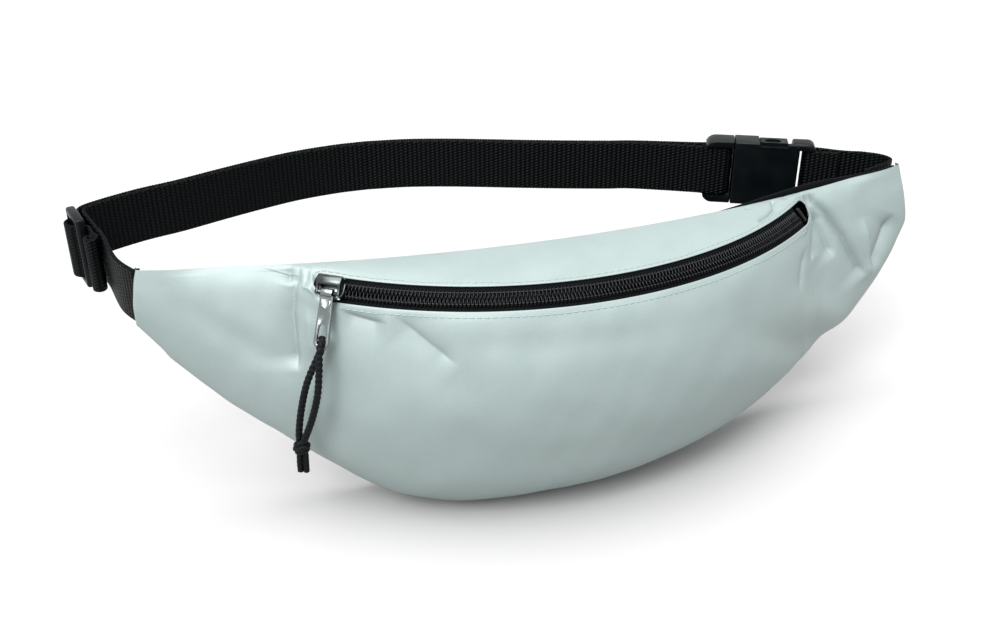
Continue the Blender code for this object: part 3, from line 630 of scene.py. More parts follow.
# Broad soft swells on the same layout: centre, half sizes, turn in degrees, height.
SWELL_DEPTH = 1.4
SWELLS = (
    ((-112.5, 0), (6, 7), 0, 1.6),
    ((116, 0), (5, 7), 0, 1.6),
    ((-60, 40), (45, 14), -12, 0.9),
    ((10, 70), (70, 13), 3, -1.0),
    ((60, 45), (40, 12), 14, 0.8),
    ((108, 58), (40, 7), 36, -1.6),
    ((116, 46), (30, 7), 40, 1.3),
    ((-150, 12), (16, 10), 60, 0.6),
    ((-140, 22), (26, 6), 38, -0.9),
    ((150, -6), (16, 5), -20, 0.5),
    ((-20, 14), (60, 6), 2, -0.5),
)


def fold_height(x, v):
    """How far the cloth stands out of its plain shape, in millimetres."""
    height = np.zeros_like(x)
    for line, depth, left, right, fade in FOLDS:
        pts = np.array(line, float)
        lengths = np.linalg.norm(np.diff(pts, axis=0), axis=1)
        total = lengths.sum()
        start = 0.0
        best = np.full(x.shape, 1e9)
        value = np.zeros_like(x)
        for a, b, size in zip(pts, pts[1:], lengths):
            d = (b - a) / size
            run = (x - a[0]) * d[0] + (v - a[1]) * d[1]
            side = (x - a[0]) * -d[1] + (v - a[1]) * d[0]
            held = np.clip(run, 0, size)
            far = np.hypot(run - held, side)
            at = start + held
            ends = np.clip(np.minimum(at + (run - held) * (run < 0), total - at) / fade, 0, 1)
            ends = ends * ends * (3 - 2 * ends)
            width = np.where(side > 0, left, right)
            shape = np.exp(-(far / width) ** 1.05)
            take = far < best
            value = np.where(take, shape * ends, value)
            best = np.where(take, far, best)
            start += size
        height += FOLD_DEPTH * depth * value
    for (cx, cv), (a, b), turn, depth in SWELLS:
        c, s = math.cos(math.radians(turn)), math.sin(math.radians(turn))
        along = (x - cx) * c + (v - cv) * s
        over = -(x - cx) * s + (v - cv) * c
        height += SWELL_DEPTH * depth * np.exp(-(along / a) ** 2 - (over / b) ** 2)
    return height


def cloth_ripple(x, v):
    """Faint uneven tension."""
    wave_a = np.sin(x * 0.11 + 1.7 * np.sin(v * 0.06 + 0.5)) * np.sin(v * 0.13 + 0.9)
    wave_b = np.sin(x * 0.31 + v * 0.19 + 2.0 * np.sin(x * 0.05))
    return 0.22 * wave_a + 0.06 * wave_b


def bag_stations():
    return np.linspace(-HALF_LENGTH, HALF_LENGTH, 821)


def closed_ends(points, x):
    """Turn the cloth round each wing's end, back to the rear panel."""
    columns = []
    for at, way in ((0, -1), (-1, 1)):
        last = points[:, at]
        rear = float(back_y(x[at])) - 0.4 * MM
        ring = []
        for out, share in ((0.35, 0.12), (0.55, 0.35), (0.5, 0.7), (0.1, 1.0)):
            moved = last.copy()
            moved[:, 0] += way * out * MM
            moved[:, 1] += (rear - last[:, 1]) * share
            ring.append(moved)
        columns.append(np.stack(ring, axis=1))
    points = np.concatenate([columns[0][:, ::-1], points, columns[1]], axis=1)
    beyond = np.arange(1, 5) * MM
    return points, np.concatenate([x[0] - beyond[::-1], x, x[-1] + beyond])


def bag_cloth():
    """The silver shell: one cloth over the top and front, with the zip's slot cut and hemmed."""
    x = bag_stations()
    top_t = np.linspace(0, 1, 49)
    front_t = np.linspace(0, 1, 241)
    top = top_section(x[None, :], top_t[:, None])
    front = front_section(x[None, :], front_t[:, None])
    top_len = np.concatenate([np.zeros((1, len(x))), np.cumsum(
        np.linalg.norm(np.diff(top, axis=0), axis=2), axis=0)])
    front_len = np.concatenate([np.zeros((1, len(x))), np.cumsum(
        np.linalg.norm(np.diff(front, axis=0), axis=2), axis=0)])
    v_top = (top_len - top_len[-1:]) / MM
    v_front = front_len / MM
    wing = np.clip((np.abs(x) - OPENING_HALF_X - 1 * MM) / (14 * MM), 0, 1)
    closed = opening(x) <= 1e-7

    both = np.concatenate([top, front[1:]])
    v = np.concatenate([v_top, v_front[1:]])
    split = len(top_t) - 1
    # past the slot the two panels are one cloth, so the ridge between them is rounded off
    ridge_share = (np.exp(-(v[1:-1] / 9.0) ** 2) * wing[None, :])[..., None] * 0.5
    for _ in range(300):
        both[1:-1] += ((both[:-2] + both[2:]) / 2 - both[1:-1]) * ridge_share
    # and the shell is evened out along its length around each end of the slot
    beside = np.exp(-((np.abs(x) - OPENING_HALF_X) / (11 * MM)) ** 2)[None, :] * (1 - np.exp(-(v / 5.0) ** 2))
    end_share = beside[:, 1:-1, None] * 0.5
    for _ in range(300):
        both[:, 1:-1] += ((both[:, :-2] + both[:, 2:]) / 2 - both[:, 1:-1]) * end_share

    along = np.gradient(both, axis=1)
    down = np.gradient(both, axis=0)
    normal = np.cross(down, along)
    size = np.linalg.norm(normal, axis=2)
    size[size == 0] = 1
    normal /= size[..., None]
    normal *= np.sign((normal[..., 1:2] * -1 + normal[..., 2:3]).sum())

    edge = np.clip(np.minimum(1, (x + HALF_LENGTH) / (6 * MM)) * np.minimum(1, (HALF_LENGTH - x) / (6 * MM)), 0, 1)
    slot_hold = np.where(closed[None, :], 1.0, 1 - np.exp(-(v / 2.4) ** 2))
    seam_hold = np.clip((v[-1:] - v) / 5.0, 0, 1) * np.clip((v - v[:1]) / 3.0, 0.15, 1)
    lift = fold_height(x[None, :] / MM + 0 * v, v) + cloth_ripple(x[None, :] / MM, v)
    both = both + normal * (lift * slot_hold * seam_hold * edge[None, :] * MM)[..., None]

    top, front = both[:split + 1], both[split:]
    gap = opening(x)
    over = math.sqrt(0.5)
    up_edge = np.stack(seam_point(x, -1), axis=-1)
    low_edge = np.stack(seam_point(x, 1), axis=-1)
    top[-1] = np.where(closed[:, None], both[split], place(x, up_edge[:, 0], up_edge[:, 1]))
    front = front.copy()
    front[0] = np.where(closed[:, None], both[split], place(x, low_edge[:, 0], low_edge[:, 1]))

    # the hem: each slot edge rolls under and runs back on itself
    open_share = np.clip(gap / ZIP_OPENING, 0, 1)[:, None]
    hems = []
    for edge_row, inner_row, flip in ((top[-1], top[-3], 1), (front[0], front[2], -1)):
        inward = edge_row - inner_row
        inward /= np.linalg.norm(inward, axis=1)[:, None] + 1e-12
        sunk = -normal[split]
        roll = []
        for k in range(1, 6):
            a = math.pi * k / 5
            roll.append(edge_row + (inward * math.sin(a) * 0.45 * MM
                                    + sunk * (1 - math.cos(a)) * 0.42 * MM) * open_share)
        roll.append(edge_row + (-inward * 2.2 * MM + sunk * 0.95 * MM) * open_share)
        hems.append(np.array(roll))
    room = EDGE_ROOM + wing_room(x)
    tuck = np.stack([place(x, room - a * MM, TOP_Z - b * MM)
                     for a, b in ((0.2, 5.0), (0.45, 1.6), (0.4, 0.5))])
    top_all = np.concatenate([tuck, top, hems[0]])
    front_all = np.concatenate([hems[1][::-1], front])

    meshes = []
    for points, rows_v in ((top_all, np.linspace(-44, 3, len(top_all))),
                           (front_all, np.linspace(-3, 150, len(front_all)))):
        points, ends_x = closed_ends(points, x)
        uv = np.stack(np.broadcast_arrays(ends_x[None, :] / MM, rows_v[:, None]), axis=-1)
        meshes.append(grid_mesh("cloth", points, uv))
    bm = bmesh.new()
    for mesh in meshes:
        bm.from_mesh(mesh)
        bpy.data.meshes.remove(mesh)
    bmesh.ops.remove_doubles(bm, verts=bm.verts, dist=2e-6)
    bmesh.ops.recalc_face_normals(bm, faces=bm.faces)
    total = sum((f.normal * f.calc_area() for f in bm.faces), Vector())
    if total.dot(Vector((0, -1, 1))) < 0:
        bmesh.ops.reverse_faces(bm, faces=bm.faces)
    mesh = bpy.data.meshes.new("bag_cloth")
    bm.to_mesh(mesh)
    bm.free()
    mesh.shade_smooth()
    cloth = add("bag_cloth", mesh, "silver", nodes=("front_panel", "top_panel"))
    return cloth, x, both, v, normal


def back_cloth():
    """The rear panel: plain dark cloth over a thin pad, turned in at its edges."""
    x = np.linspace(-HALF_LENGTH, HALF_LENGTH, 260)
    t = np.linspace(0, 1, 90)
    low = bottom_z(x)[None, :]
    top = TOP_Z - 2.2 * MM
    z = top + (low - top) * t[:, None]
    rim = np.minimum(np.minimum(t, 1 - t)[:, None] * (top - low), HALF_LENGTH - np.abs(x)[None, :])
    pad = 0.9 * MM * (1 - np.exp(-(rim / (5 * MM)) ** 2))
    quilt = 0.35 * MM * (1 - np.exp(-((rim - 9 * MM) / (1.1 * MM)) ** 2))
    rear = place(x[None, :] + 0 * z, -(pad + quilt - 0.5 * MM), z)
    front = place(x[None, :] + 0 * z, BACK_THICK + 0 * z, z)
    uv = np.stack(np.broadcast_arrays(x[None, :] / MM, z / MM), axis=-1)
    bm = bmesh.new()
    for points in (rear, front):
        mesh = grid_mesh("back", points, uv)
        bm.from_mesh(mesh)
        bpy.data.meshes.remove(mesh)
    rims = [e for e in bm.edges if e.is_boundary]
    bmesh.ops.bridge_loops(bm, edges=rims)
    bmesh.ops.recalc_face_normals(bm, faces=bm.faces)
    mesh = bpy.data.meshes.new("back_cloth")
    bm.to_mesh(mesh)
    bm.free()
    mesh.shade_smooth()
    return add("back_cloth", mesh, "fabric", nodes=("back_panel",))


# how far the ribbed tape stands over the top edge: places along the bag, and heights, in mm
BINDING_EDGE = ((-173, -4.5), (-140, -4.0), (-100, -2.4), (60, -1.6), (78, 0.0), (98, 2.0), (116, 3.0), (132, 2.2), (150, 0.0), (173, -1.2))


def top_binding():
    """The ribbed tape over the top seam, which stands up behind the cloth along the right half."""
    x = np.linspace(-HALF_LENGTH + 1 * MM, HALF_LENGTH - 1 * MM, 420)
    edge = np.array(BINDING_EDGE, float) * MM
    high = np.interp(x, edge[:, 0], edge[:, 1])
    spread = np.hanning(41)
    high = np.convolve(np.pad(high, 20, mode="edge"), spread / spread.sum(), mode="valid")
    rows = []
    ring = ((0.15, -6), (0.0, -2.6), (0.0, -0.8), (0.1, -0.2), (0.45, 0), (0.95, -0.05), (1.15, -0.4),
            (1.2, -1.2), (1.2, -6))
    for depth, below in ring:
        rows.append(place(x, depth * MM + 0 * x, TOP_Z + high + below * MM))
    points = np.stack(rows, axis=1)
    gap = np.concatenate([[0], np.cumsum(np.linalg.norm(np.diff(points[210], axis=0), axis=1))]) / MM
    uv = np.stack(np.broadcast_arrays(x[:, None] / MM, gap[None, :]), axis=-1)
    mesh = clean(grid_mesh("binding", points, uv, wrap=True))
    return add("edge_binding", mesh, "tape", nodes=("top_seam_binding",))


def tip_bindings():
    """The seam's raw edge, just showing below the strap at the left tip and hidden at the right one."""
    for name, low_x, high_x, low_z, high_z in (("left_tip_binding", -175.6, -173.6, -13.0, -2.0),
                                               ("right_tip_binding", 171.6, 173.0, -9.0, 9.0)):
        y = float(back_y(HALF_LENGTH)) / MM
        bm = block((low_x * MM, (y - 3.4) * MM, low_z * MM), (high_x * MM, (y - 0.9) * MM, high_z * MM),
                   None, 0.5 * MM)
        mesh = to_mesh(bm, name)
        mesh.shade_smooth()
        add("trim_" + name, mesh, "fabric", nodes=(name,))


# ------------------------------------------------------------------ zip

def zip_coils():
    """Two interlocking nylon spirals, flattened, each sewn to its tape."""
    pitch = 1.5 * MM
    start, end = 0.024 - ZIP_END, ZIP_END - 0.024
    turns = (end - start) * ZIP_RADIUS / pitch
    per_turn = 14
    for side, name in ((-1, "upper"), (1, "lower")):
        phase = np.arange(int(turns * per_turn)) * 2 * math.pi / per_turn
        angle = start + (phase / (2 * math.pi) + (0.25 if side > 0 else -0.25)) * pitch / ZIP_RADIUS
        across = side * (1.45 * MM - 1.75 * MM * np.cos(phase))
        lift = 0.62 * MM * np.sin(phase) * (1 + 0.35 * np.cos(phase))
        line = zip_place(angle, across, lift)
        mesh = round_tube("zip_coil", line, 0.37 * MM, 7)
        add("coil_" + name, mesh, "coil", nodes=("zip_coil_" + name,))


def round_tube(name, line, radius, sides, braid=None):
    """A tube along a dense line, with a frame carried along it so that it doesn't twist."""
    heading = tangents(line)
    normal = np.zeros_like(line)
    first = np.cross(heading[0], [0.3, 0.2, 0.9])
    normal[0] = first / np.linalg.norm(first)
    for i in range(1, len(line)):
        n = normal[i - 1] - heading[i] * np.dot(normal[i - 1], heading[i])
        normal[i] = n / np.linalg.norm(n)
    other = np.cross(heading, normal)
    turn = 2 * math.pi * np.arange(sides) / sides
    along = np.concatenate([[0], np.cumsum(np.linalg.norm(np.diff(line, axis=0), axis=1))])
    size = np.full((len(line), sides), radius)
    if braid is not None:
        size = size + braid(along[:, None], turn[None, :])
    points = (line[:, None, :] + size[..., None] * (normal[:, None, :] * np.cos(turn)[None, :, None]
                                                    + other[:, None, :] * np.sin(turn)[None, :, None]))
    uv = np.stack(np.broadcast_arrays(along[:, None] / MM, turn[None, :] * radius / MM), axis=-1)
    mesh = grid_mesh(name, points, uv, wrap=True)
    bm = bmesh.new()
    bm.from_mesh(mesh)
    bmesh.ops.holes_fill(bm, edges=[e for e in bm.edges if e.is_boundary], sides=0)
    bmesh.ops.recalc_face_normals(bm, faces=bm.faces)
    bm.to_mesh(mesh)
    bm.free()
    mesh.shade_smooth()
    return mesh


def zip_tapes():
    tape_top = -1.3 * MM
    for side, name in ((-1, "upper"), (1, "lower")):
        angle = np.linspace(0.012 - ZIP_END, ZIP_END - 0.012, 300)
        rows = []
        edge = ((0.5, 0), (1.6, 0.05), (3.1, 0.12), (3.6, 0.42), (4.2, 0.30), (5.6, 0.30), (6.6, 0.15),
                (6.6, -0.5), (3.2, -0.6), (0.5, -0.6))
        for a, b in edge:
            rows.append(zip_place(angle, side * a * MM, tape_top + b * MM))
        points = np.stack(rows, axis=1)
        along = angle * ZIP_RADIUS / MM
        ring = np.array([a if b > -0.2 else 14 - a for a, b in edge])
        uv = np.stack(np.broadcast_arrays(along[:, None], ring[None, :]), axis=-1)
        mesh = clean(grid_mesh("tape", points, uv, wrap=True))
        add("tape_" + name, mesh, "tape", nodes=("zip_tape_" + name,))
        # the thread that holds the coil to the tape
        angle = np.arange(0.03 - ZIP_END, ZIP_END - 0.03, 1.5 * MM / ZIP_RADIUS)
        places = zip_place(angle, side * 2.3 * MM, 0.72 * MM)
        normals = np.stack([zip_axes(a)[2] for a in angle])
        capsule_row("coil_thread_" + name, places, normals, 1.1 * MM, 0.2 * MM, "dark_thread")


def zip_stops():
    for name, angle, low, high in (("zip_stop_left_upper", 0.012 - ZIP_END, -3.0, -0.6),
                                   ("zip_stop_left_lower", 0.012 - ZIP_END, 0.6, 3.0),
                                   ("zip_stop_right", ZIP_END - 0.011, -3.4, 3.4)):
        side, along, normal = zip_axes(angle)
        at = Matrix((side, along, normal)).transposed().to_4x4()
        at.translation = Vector(zip_place(angle))
        bm = block((low * MM, -0.9 * MM, -1 * MM), (high * MM, 0.9 * MM, 1.3 * MM), at, 0.5 * MM)
        mesh = to_mesh(bm, name)
        mesh.shade_smooth()
        add("trim_" + name, mesh, "coil", nodes=(name,))


def slot_stitching(cloth_x, cloth, v, normal):
    """The lockstitch that holds the slot's hem, 2 mm out from the fabric's edge."""
    for name, offset, row_side in (("lower", 2.0, 1), ("upper", -1.6, -1)):
        inside = (cloth_x > -SLOT_LEFT) & (cloth_x < SLOT_RIGHT + 2 * MM)
        line = []
        norms = []
        for i in np.nonzero(inside)[0]:
            col = v[:, i]
            j = int(np.argmin(np.abs(col - offset)))
            line.append(cloth[j, i])
            norms.append(normal[j, i])
        line, norms = np.array(line), np.array(norms)
        run = np.concatenate([[0], np.cumsum(np.linalg.norm(np.diff(line, axis=0), axis=1))])
        want = np.arange(1.0 * MM, run[-1] - 1.0 * MM, 2.9 * MM)
        places = np.stack([np.interp(want, run, line[:, k]) for k in range(3)], axis=1)
        n = np.stack([np.interp(want, run, norms[:, k]) for k in range(3)], axis=1)
        n /= np.linalg.norm(n, axis=1)[:, None]
        capsule_row("slot_stitch_" + name, places + n * 0.05 * MM, n, 2.3 * MM, 0.22 * MM, "thread")


# ------------------------------------------------------------------ slider and tab

def slider_frame():
    side, along, normal = zip_axes(SLIDER_REST)
    at = Matrix((side, along, normal)).transposed().to_4x4()
    at.translation = Vector(zip_place(SLIDER_REST))
    return at


SLIDER = slider_frame()
BAR_PLACE = Vector((3.0, 0, 5.0)) * MM
BAR_RADIUS = 0.7 * MM


def slider():
    top = 1.4 * MM
    wide, long_ = 4.6 * MM, 5.4 * MM
    plate = []
    for k in range(28):
        a = 2 * math.pi * k / 28
        c, s = math.cos(a), math.sin(a)
        shape = 0.62 if s > 0 else 0.85
        plate.append((wide * math.copysign(abs(c) ** shape, c) * (1 - 0.12 * (s > 0) * s),
                      long_ * math.copysign(abs(s) ** 0.8, s)))
    low = [(x * 0.96, y * 0.9) for x, y in plate]
    steps = [("UNION", outline(low, -3.3 * MM, -2.4 * MM, SLIDER, 0.3 * MM))]
    steps.append(("UNION", block((-0.28 * MM, -4.4 * MM, -2.6 * MM), (0.28 * MM, -2.0 * MM, 1.6 * MM), SLIDER)))
    for side in (-1, 1):
        a, b = sorted((side * 3.6 * MM, side * 4.45 * MM))
        steps.append(("UNION", block((a, -4.6 * MM, -0.6 * MM), (b, 4.2 * MM, 1.7 * MM), SLIDER, 0.2 * MM, 2)))
    body = outline(plate, top, top + 1.15 * MM, SLIDER, 0.35 * MM)
    mesh = shaped("slider_shell", body, steps, 0.12 * MM)
    add("slider_shell", mesh, "nickel", "slider", ("slider_body",))

    # the bridge: two cheeks, an arched roof and the bar the tab hangs on
    base = top + 1.2 * MM
    cheek = [(-3.8, 0), (-3.8, 3.2), (-3.0, 4.3), (-1.6, 4.6), (0.0, 4.4), (1.4, 3.7), (2.6, 3.4), (3.7, 3.2),
             (4.0, 2.5), (3.8, 1.6), (2.4, 1.2), (1.6, 0)]
    steps = []
    pieces = []
    for side in (-1, 1):
        y0, y1 = sorted((side * 4.0 * MM, side * 5.1 * MM))
        turn = SLIDER @ Matrix(((1, 0, 0, 0), (0, 0, 1, 0), (0, 1, 0, base), (0, 0, 0, 1)))
        pieces.append(outline([(a * MM, b * MM) for a, b in cheek], y0, y1, turn, 0.25 * MM))
    roof = [(-4.1, 3.0), (-3.6, 4.1), (-2.4, 4.8), (-0.9, 4.9), (0.3, 4.5), (0.1, 3.9), (-1.0, 4.1), (-2.2, 4.0),
            (-3.0, 3.4), (-3.3, 2.7)]
    turn = SLIDER @ Matrix(((1, 0, 0, 0), (0, 0, 1, 0), (0, 1, 0, base), (0, 0, 0, 1)))
    cover = outline([(a * MM, b * MM) for a, b in roof], -5.2 * MM, 5.2 * MM, turn, 0.3 * MM)
    bar = bmesh.new()
    bmesh.ops.create_cone(bar, cap_ends=True, segments=20, radius1=BAR_RADIUS, radius2=BAR_RADIUS, depth=9.4 * MM)
    lay = SLIDER @ Matrix.Translation(BAR_PLACE) @ Matrix.Rotation(math.radians(90), 4, "X")
    bmesh.ops.transform(bar, matrix=lay, verts=bar.verts)
    mesh = shaped("slider_bridge", cover, [("UNION", pieces[0]), ("UNION", pieces[1]), ("UNION", bar)], 0.1 * MM)
    add("slider_bridge", mesh, "gunmetal", "slider", ("slider_crown",))


TAB_TILT = math.radians(27)
TAB_LENGTH = 22.5 * MM


def tab_frame():
    bar = SLIDER @ BAR_PLACE
    along = SLIDER.col[1].to_3d()
    out = Vector((along.y, -along.x, 0)).normalized()
    down = Vector((0, 0, -1)) * math.cos(TAB_TILT) + out * math.sin(TAB_TILT)
    face = along.cross(-down)
    at = Matrix((face, along, -down)).transposed().to_4x4()
    at.translation = bar
    return at


TAB = tab_frame()


def pull_tab():
    """A die-cast tab: a plate with rounded edges, an eye at its head, a raised U and a slot."""
    lay = TAB @ Matrix(((0, 0, 1, 0), (1, 0, 0, 0), (0, 1, 0, 0), (0, 0, 0, 1)))
    body = []
    half_top, half_low = 2.7, 3.2
    foot = TAB_LENGTH / MM
    for k in range(13):
        a = math.pi * k / 12
        body.append((-half_low * math.cos(a), -foot + 3.0 - 3.0 * math.sin(a)))
    for k in range(13):
        a = math.pi * k / 12
        body.append((half_top * math.cos(a), -1.4 + 1.2 * math.sin(a)))
    plate = outline([(a * MM, b * MM) for a, b in body], -0.65 * MM, 0.65 * MM, lay, 0.4 * MM, 3)
    slot_line = []
    for k in range(13):
        a = math.pi * k / 12
        slot_line.append((-1.9 * math.cos(a), -foot + 3.2 - 1.7 * math.sin(a)))
    for k in range(13):
        a = math.pi * k / 12
        slot_line.append((1.75 * math.cos(a), -foot + 8.2 + 1.75 * math.sin(a)))
    steps = [("DIFFERENCE", outline([(a * MM, b * MM) for a, b in slot_line], -3 * MM, 3 * MM, lay))]
    # the raised U below the head, and the arched step above the slot
    ridge = []
    for k in range(17):
        a = math.pi * k / 16
        ridge.append((-2.0 * math.cos(a), -4.6 - 2.0 * math.sin(a)))
    inner = [(x * 0.62, -4.6 + (y + 4.6) * 0.62) for x, y in reversed(ridge)]
    u_shape = [(a * MM, b * MM) for a, b in [(-2.0, -3.0)] + ridge + [(2.0, -3.0), (1.24, -3.0)] + inner
               + [(-1.24, -3.0)]]
    steps.append(("UNION", outline(u_shape, 0.5 * MM, 0.95 * MM, lay)))
    groove = [(-2.2, -8.6), (-2.2, -12.6), (2.2, -12.6), (2.2, -8.6), (1.4, -7.6), (0, -7.3), (-1.4, -7.6)]
    steps.append(("DIFFERENCE", outline([(a * MM, b * MM) for a, b in groove], 0.5 * MM, 2 * MM, lay)))
    eye = bmesh.new()
    bmesh.ops.create_cone(eye, cap_ends=True, segments=24, radius1=1.7 * MM, radius2=1.7 * MM, depth=4.6 * MM)
    bmesh.ops.transform(eye, matrix=TAB @ Matrix.Rotation(math.radians(90), 4, "X"), verts=eye.verts)
    bore = bmesh.new()
    bmesh.ops.create_cone(bore, cap_ends=True, segments=24, radius1=1.05 * MM, radius2=1.05 * MM, depth=9 * MM)
    bmesh.ops.transform(bore, matrix=TAB @ Matrix.Rotation(math.radians(90), 4, "X"), verts=bore.verts)
    steps += [("UNION", eye), ("DIFFERENCE", bore)]
    mesh = shaped("tab_plate", plate, steps, 0.1 * MM)
    add("tab_plate", mesh, "nickel", "pull_tab", ("pull_tab",))


# ------------------------------------------------------------------ cord

CORD_HINGE = TAB @ Vector((0, 0, -TAB_LENGTH + 2.6 * MM))
CORD_SIZE = 2.9 * MM


def cord_point(side, down, out):
    along = SLIDER.col[1].to_3d()
    away = Vector((along.y, -along.x, 0)).normalized()
    return CORD_HINGE + (along * side + away * out + Vector((0, 0, -down))) * MM


def braid(along, turn):
    """The lumps of a round braid: strands that cross over and under each other."""
    lead = along / (2.3 * MM) * 2 * math.pi
    over = np.maximum(np.cos(2 * turn + lead), np.cos(2 * turn - lead + 0.6))
    return 0.20 * MM * (over - 0.75)


def cords():
    front = [cord_point(0.3, -1.6, -1.6), cord_point(0.5, -0.7, 0.9), cord_point(0.6, 0.9, 2.7),
             cord_point(0.7, 3.8, 4.0), cord_point(0.8, 9.5, 5.4), cord_point(0.1, 20, 7.2),
             cord_point(-3.2, 32, 7.6), cord_point(-7.4, 42.4, 7.0)]
    rear = [cord_point(-0.5, -1.2, -1.9), cord_point(-0.6, 1.0, -2.6), cord_point(-1.0, 4.0, -1.8),
            cord_point(-2.8, 8.6, 0.3), cord_point(-6.2, 18, 3.2), cord_point(-9.4, 31, 4.2),
            cord_point(-10.9, 42.4, 5.2)]
    centre = cord_point(-9.8, 47.6, 6.0)
    along = Vector(SLIDER.col[1].to_3d())
    away = Vector((along.y, -along.x, 0)).normalized()
    up = Vector((0, 0, 1))

    # the knot: the doubled cord wrapped once round itself and pulled tight
    wrap = []
    for k in range(70):
        s = k / 69
        a = 2 * math.pi * (2.3 * s) + 0.6
        reach = 2.3 * MM * (1 - 0.15 * math.cos(2 * math.pi * s))
        wrap.append(centre + along * reach * math.cos(a) * 0.95 + away * reach * 0.75 * math.sin(a)
                    + up * (2.2 - 4.6 * s + 0.8 * math.sin(a + 0.8)) * MM)
    meshes = [round_tube("knot", np.array(wrap), CORD_SIZE * 0.46, 16, braid)]
    for side, lean_out in ((-1.15, 0.2), (1.15, -0.3)):
        tail = [centre + along * (side * 0.7) * MM + up * 2 * MM,
                centre + along * side * MM + away * lean_out * MM - up * 3 * MM,
                centre + along * (side * 1.1 - 0.2) * MM + away * lean_out * MM - up * 8 * MM,
                centre + along * (side * 1.05 - 0.3) * MM + away * lean_out * MM - up * 12.4 * MM]
        meshes.append(round_tube("tail", smooth_line(tail, 0.25 * MM), CORD_SIZE * 0.44, 16, braid))
    bm = bmesh.new()
    for mesh in meshes:
        bm.from_mesh(mesh)
        bpy.data.meshes.remove(mesh)
    mesh = bpy.data.meshes.new("cord_knot")
    bm.to_mesh(mesh)
    bm.free()
    mesh.shade_smooth()
    knot = add("cord_knot", mesh, "cord", "puller_cord", ("puller_knot",))
    for name, route in (("front", front), ("rear", rear)):
        line = smooth_line(route + [centre + (route[-1] - centre) * 0.15], 0.22 * MM)
        mesh = round_tube("cord_" + name, line, CORD_SIZE / 2, 20, braid)
        obj = add("cord_" + name, mesh, "cord", "puller_cord", ("puller_cord_" + name,))


# ------------------------------------------------------------------ webbing

def weave(u, w, width):
    """Height of the webbing's columns of yarns, flattening toward its edges."""
    groove = np.abs(np.sin(math.pi * u / COLUMN)) ** 0.5
    edge = np.clip((width / 2 - np.abs(w)) / 1.2, 0, 1)
    return 0.12 * groove * (0.35 + 0.65 * edge)


def strap(name, line, nodes=(), body="root", start=0.0, width=WEB_WIDTH, thick=WEB_THICK):
    """A length of webbing on edge along a plan line, woven on both faces, its edges bumpy."""
    step = tangents(line)
    side = np.stack([-step[:, 1], step[:, 0], 0 * step[:, 0]], axis=1)
    side /= np.linalg.norm(side, axis=1)[:, None]
    along = start + np.concatenate([[0], np.cumsum(np.linalg.norm(np.diff(line, axis=0), axis=1))]) / MM
    half = width / MM / 2
    face = np.linspace(-half + 0.35, half - 0.35, 49)
    zs = np.concatenate([face, [half], face[::-1], [-half]])
    outs = np.concatenate([np.full(49, 1.0), [0.0], np.full(49, -1.0), [0.0]])
    u, w = along[:, None], zs[None, :]
    rise = weave(u + (outs < 0)[None, :] * 2.1, w, width / MM) * np.abs(outs)[None, :]
    reach = outs[None, :] * (thick / MM / 2) + np.sign(outs)[None, :] * rise
    edge_bump = np.where(outs == 0, 1.0, 0.0)[None, :] * 0.18 * np.cos(2 * math.pi * u / 1.4)
    high = zs[None, :] + np.sign(zs)[None, :] * edge_bump
    points = np.empty((len(line), len(zs), 3))
    points[..., 0] = line[:, None, 0] + side[:, None, 0] * reach * MM
    points[..., 1] = line[:, None, 1] + side[:, None, 1] * reach * MM
    points[..., 2] = line[:, None, 2] + high * MM
    ring = np.concatenate([face, [half + 0.7], 2 * half + 1.4 + face, [3 * half + 2]])
    uv = np.stack(np.broadcast_arrays(u, ring[None, :]), axis=-1)
    mesh = grid_mesh(name, points, uv, wrap=True)
    bm = bmesh.new()
    bm.from_mesh(mesh)
    bmesh.ops.holes_fill(bm, edges=[e for e in bm.edges if e.is_boundary], sides=0)
    bmesh.ops.recalc_face_normals(bm, faces=bm.faces)
    bm.to_mesh(mesh)
    bm.free()
    mesh.shade_smooth()
    return add(name, mesh, "webbing", body, nodes)


def in_plan(at, points):
    return [at @ (Vector((x, y, 0)) * MM) for x, y in points]


def arc(centre, radius, start, end, steps):
    angles = [math.radians(start + (end - start) * k / steps) for k in range(steps + 1)]
    return [centre + radius * Vector((math.cos(a), math.sin(a), 0)) for a in angles]


BACK_RUN = [(-183, 98.5, 0), (-171, 102.5, 0), (-150, 108.5, 0), (-120, 119, 0), (-88, 127, 0),
            (-55, 127.5, 0), (-22, 119.5, 0), (12, 107, 0), (46, 95, 0), (70, 87.6, 0), (88, 81.6, 0)]
SPLIT_X = -60 * MM


def layer(shift):
    """One layer of the doubled back run, moved out or in from the middle of the pair."""
    run = smooth_line([np.array(p) * MM for p in BACK_RUN], 0.5 * MM)
    step = tangents(run)
    return run + np.stack([-step[:, 1], step[:, 0], 0 * step[:, 0]], axis=1) * shift


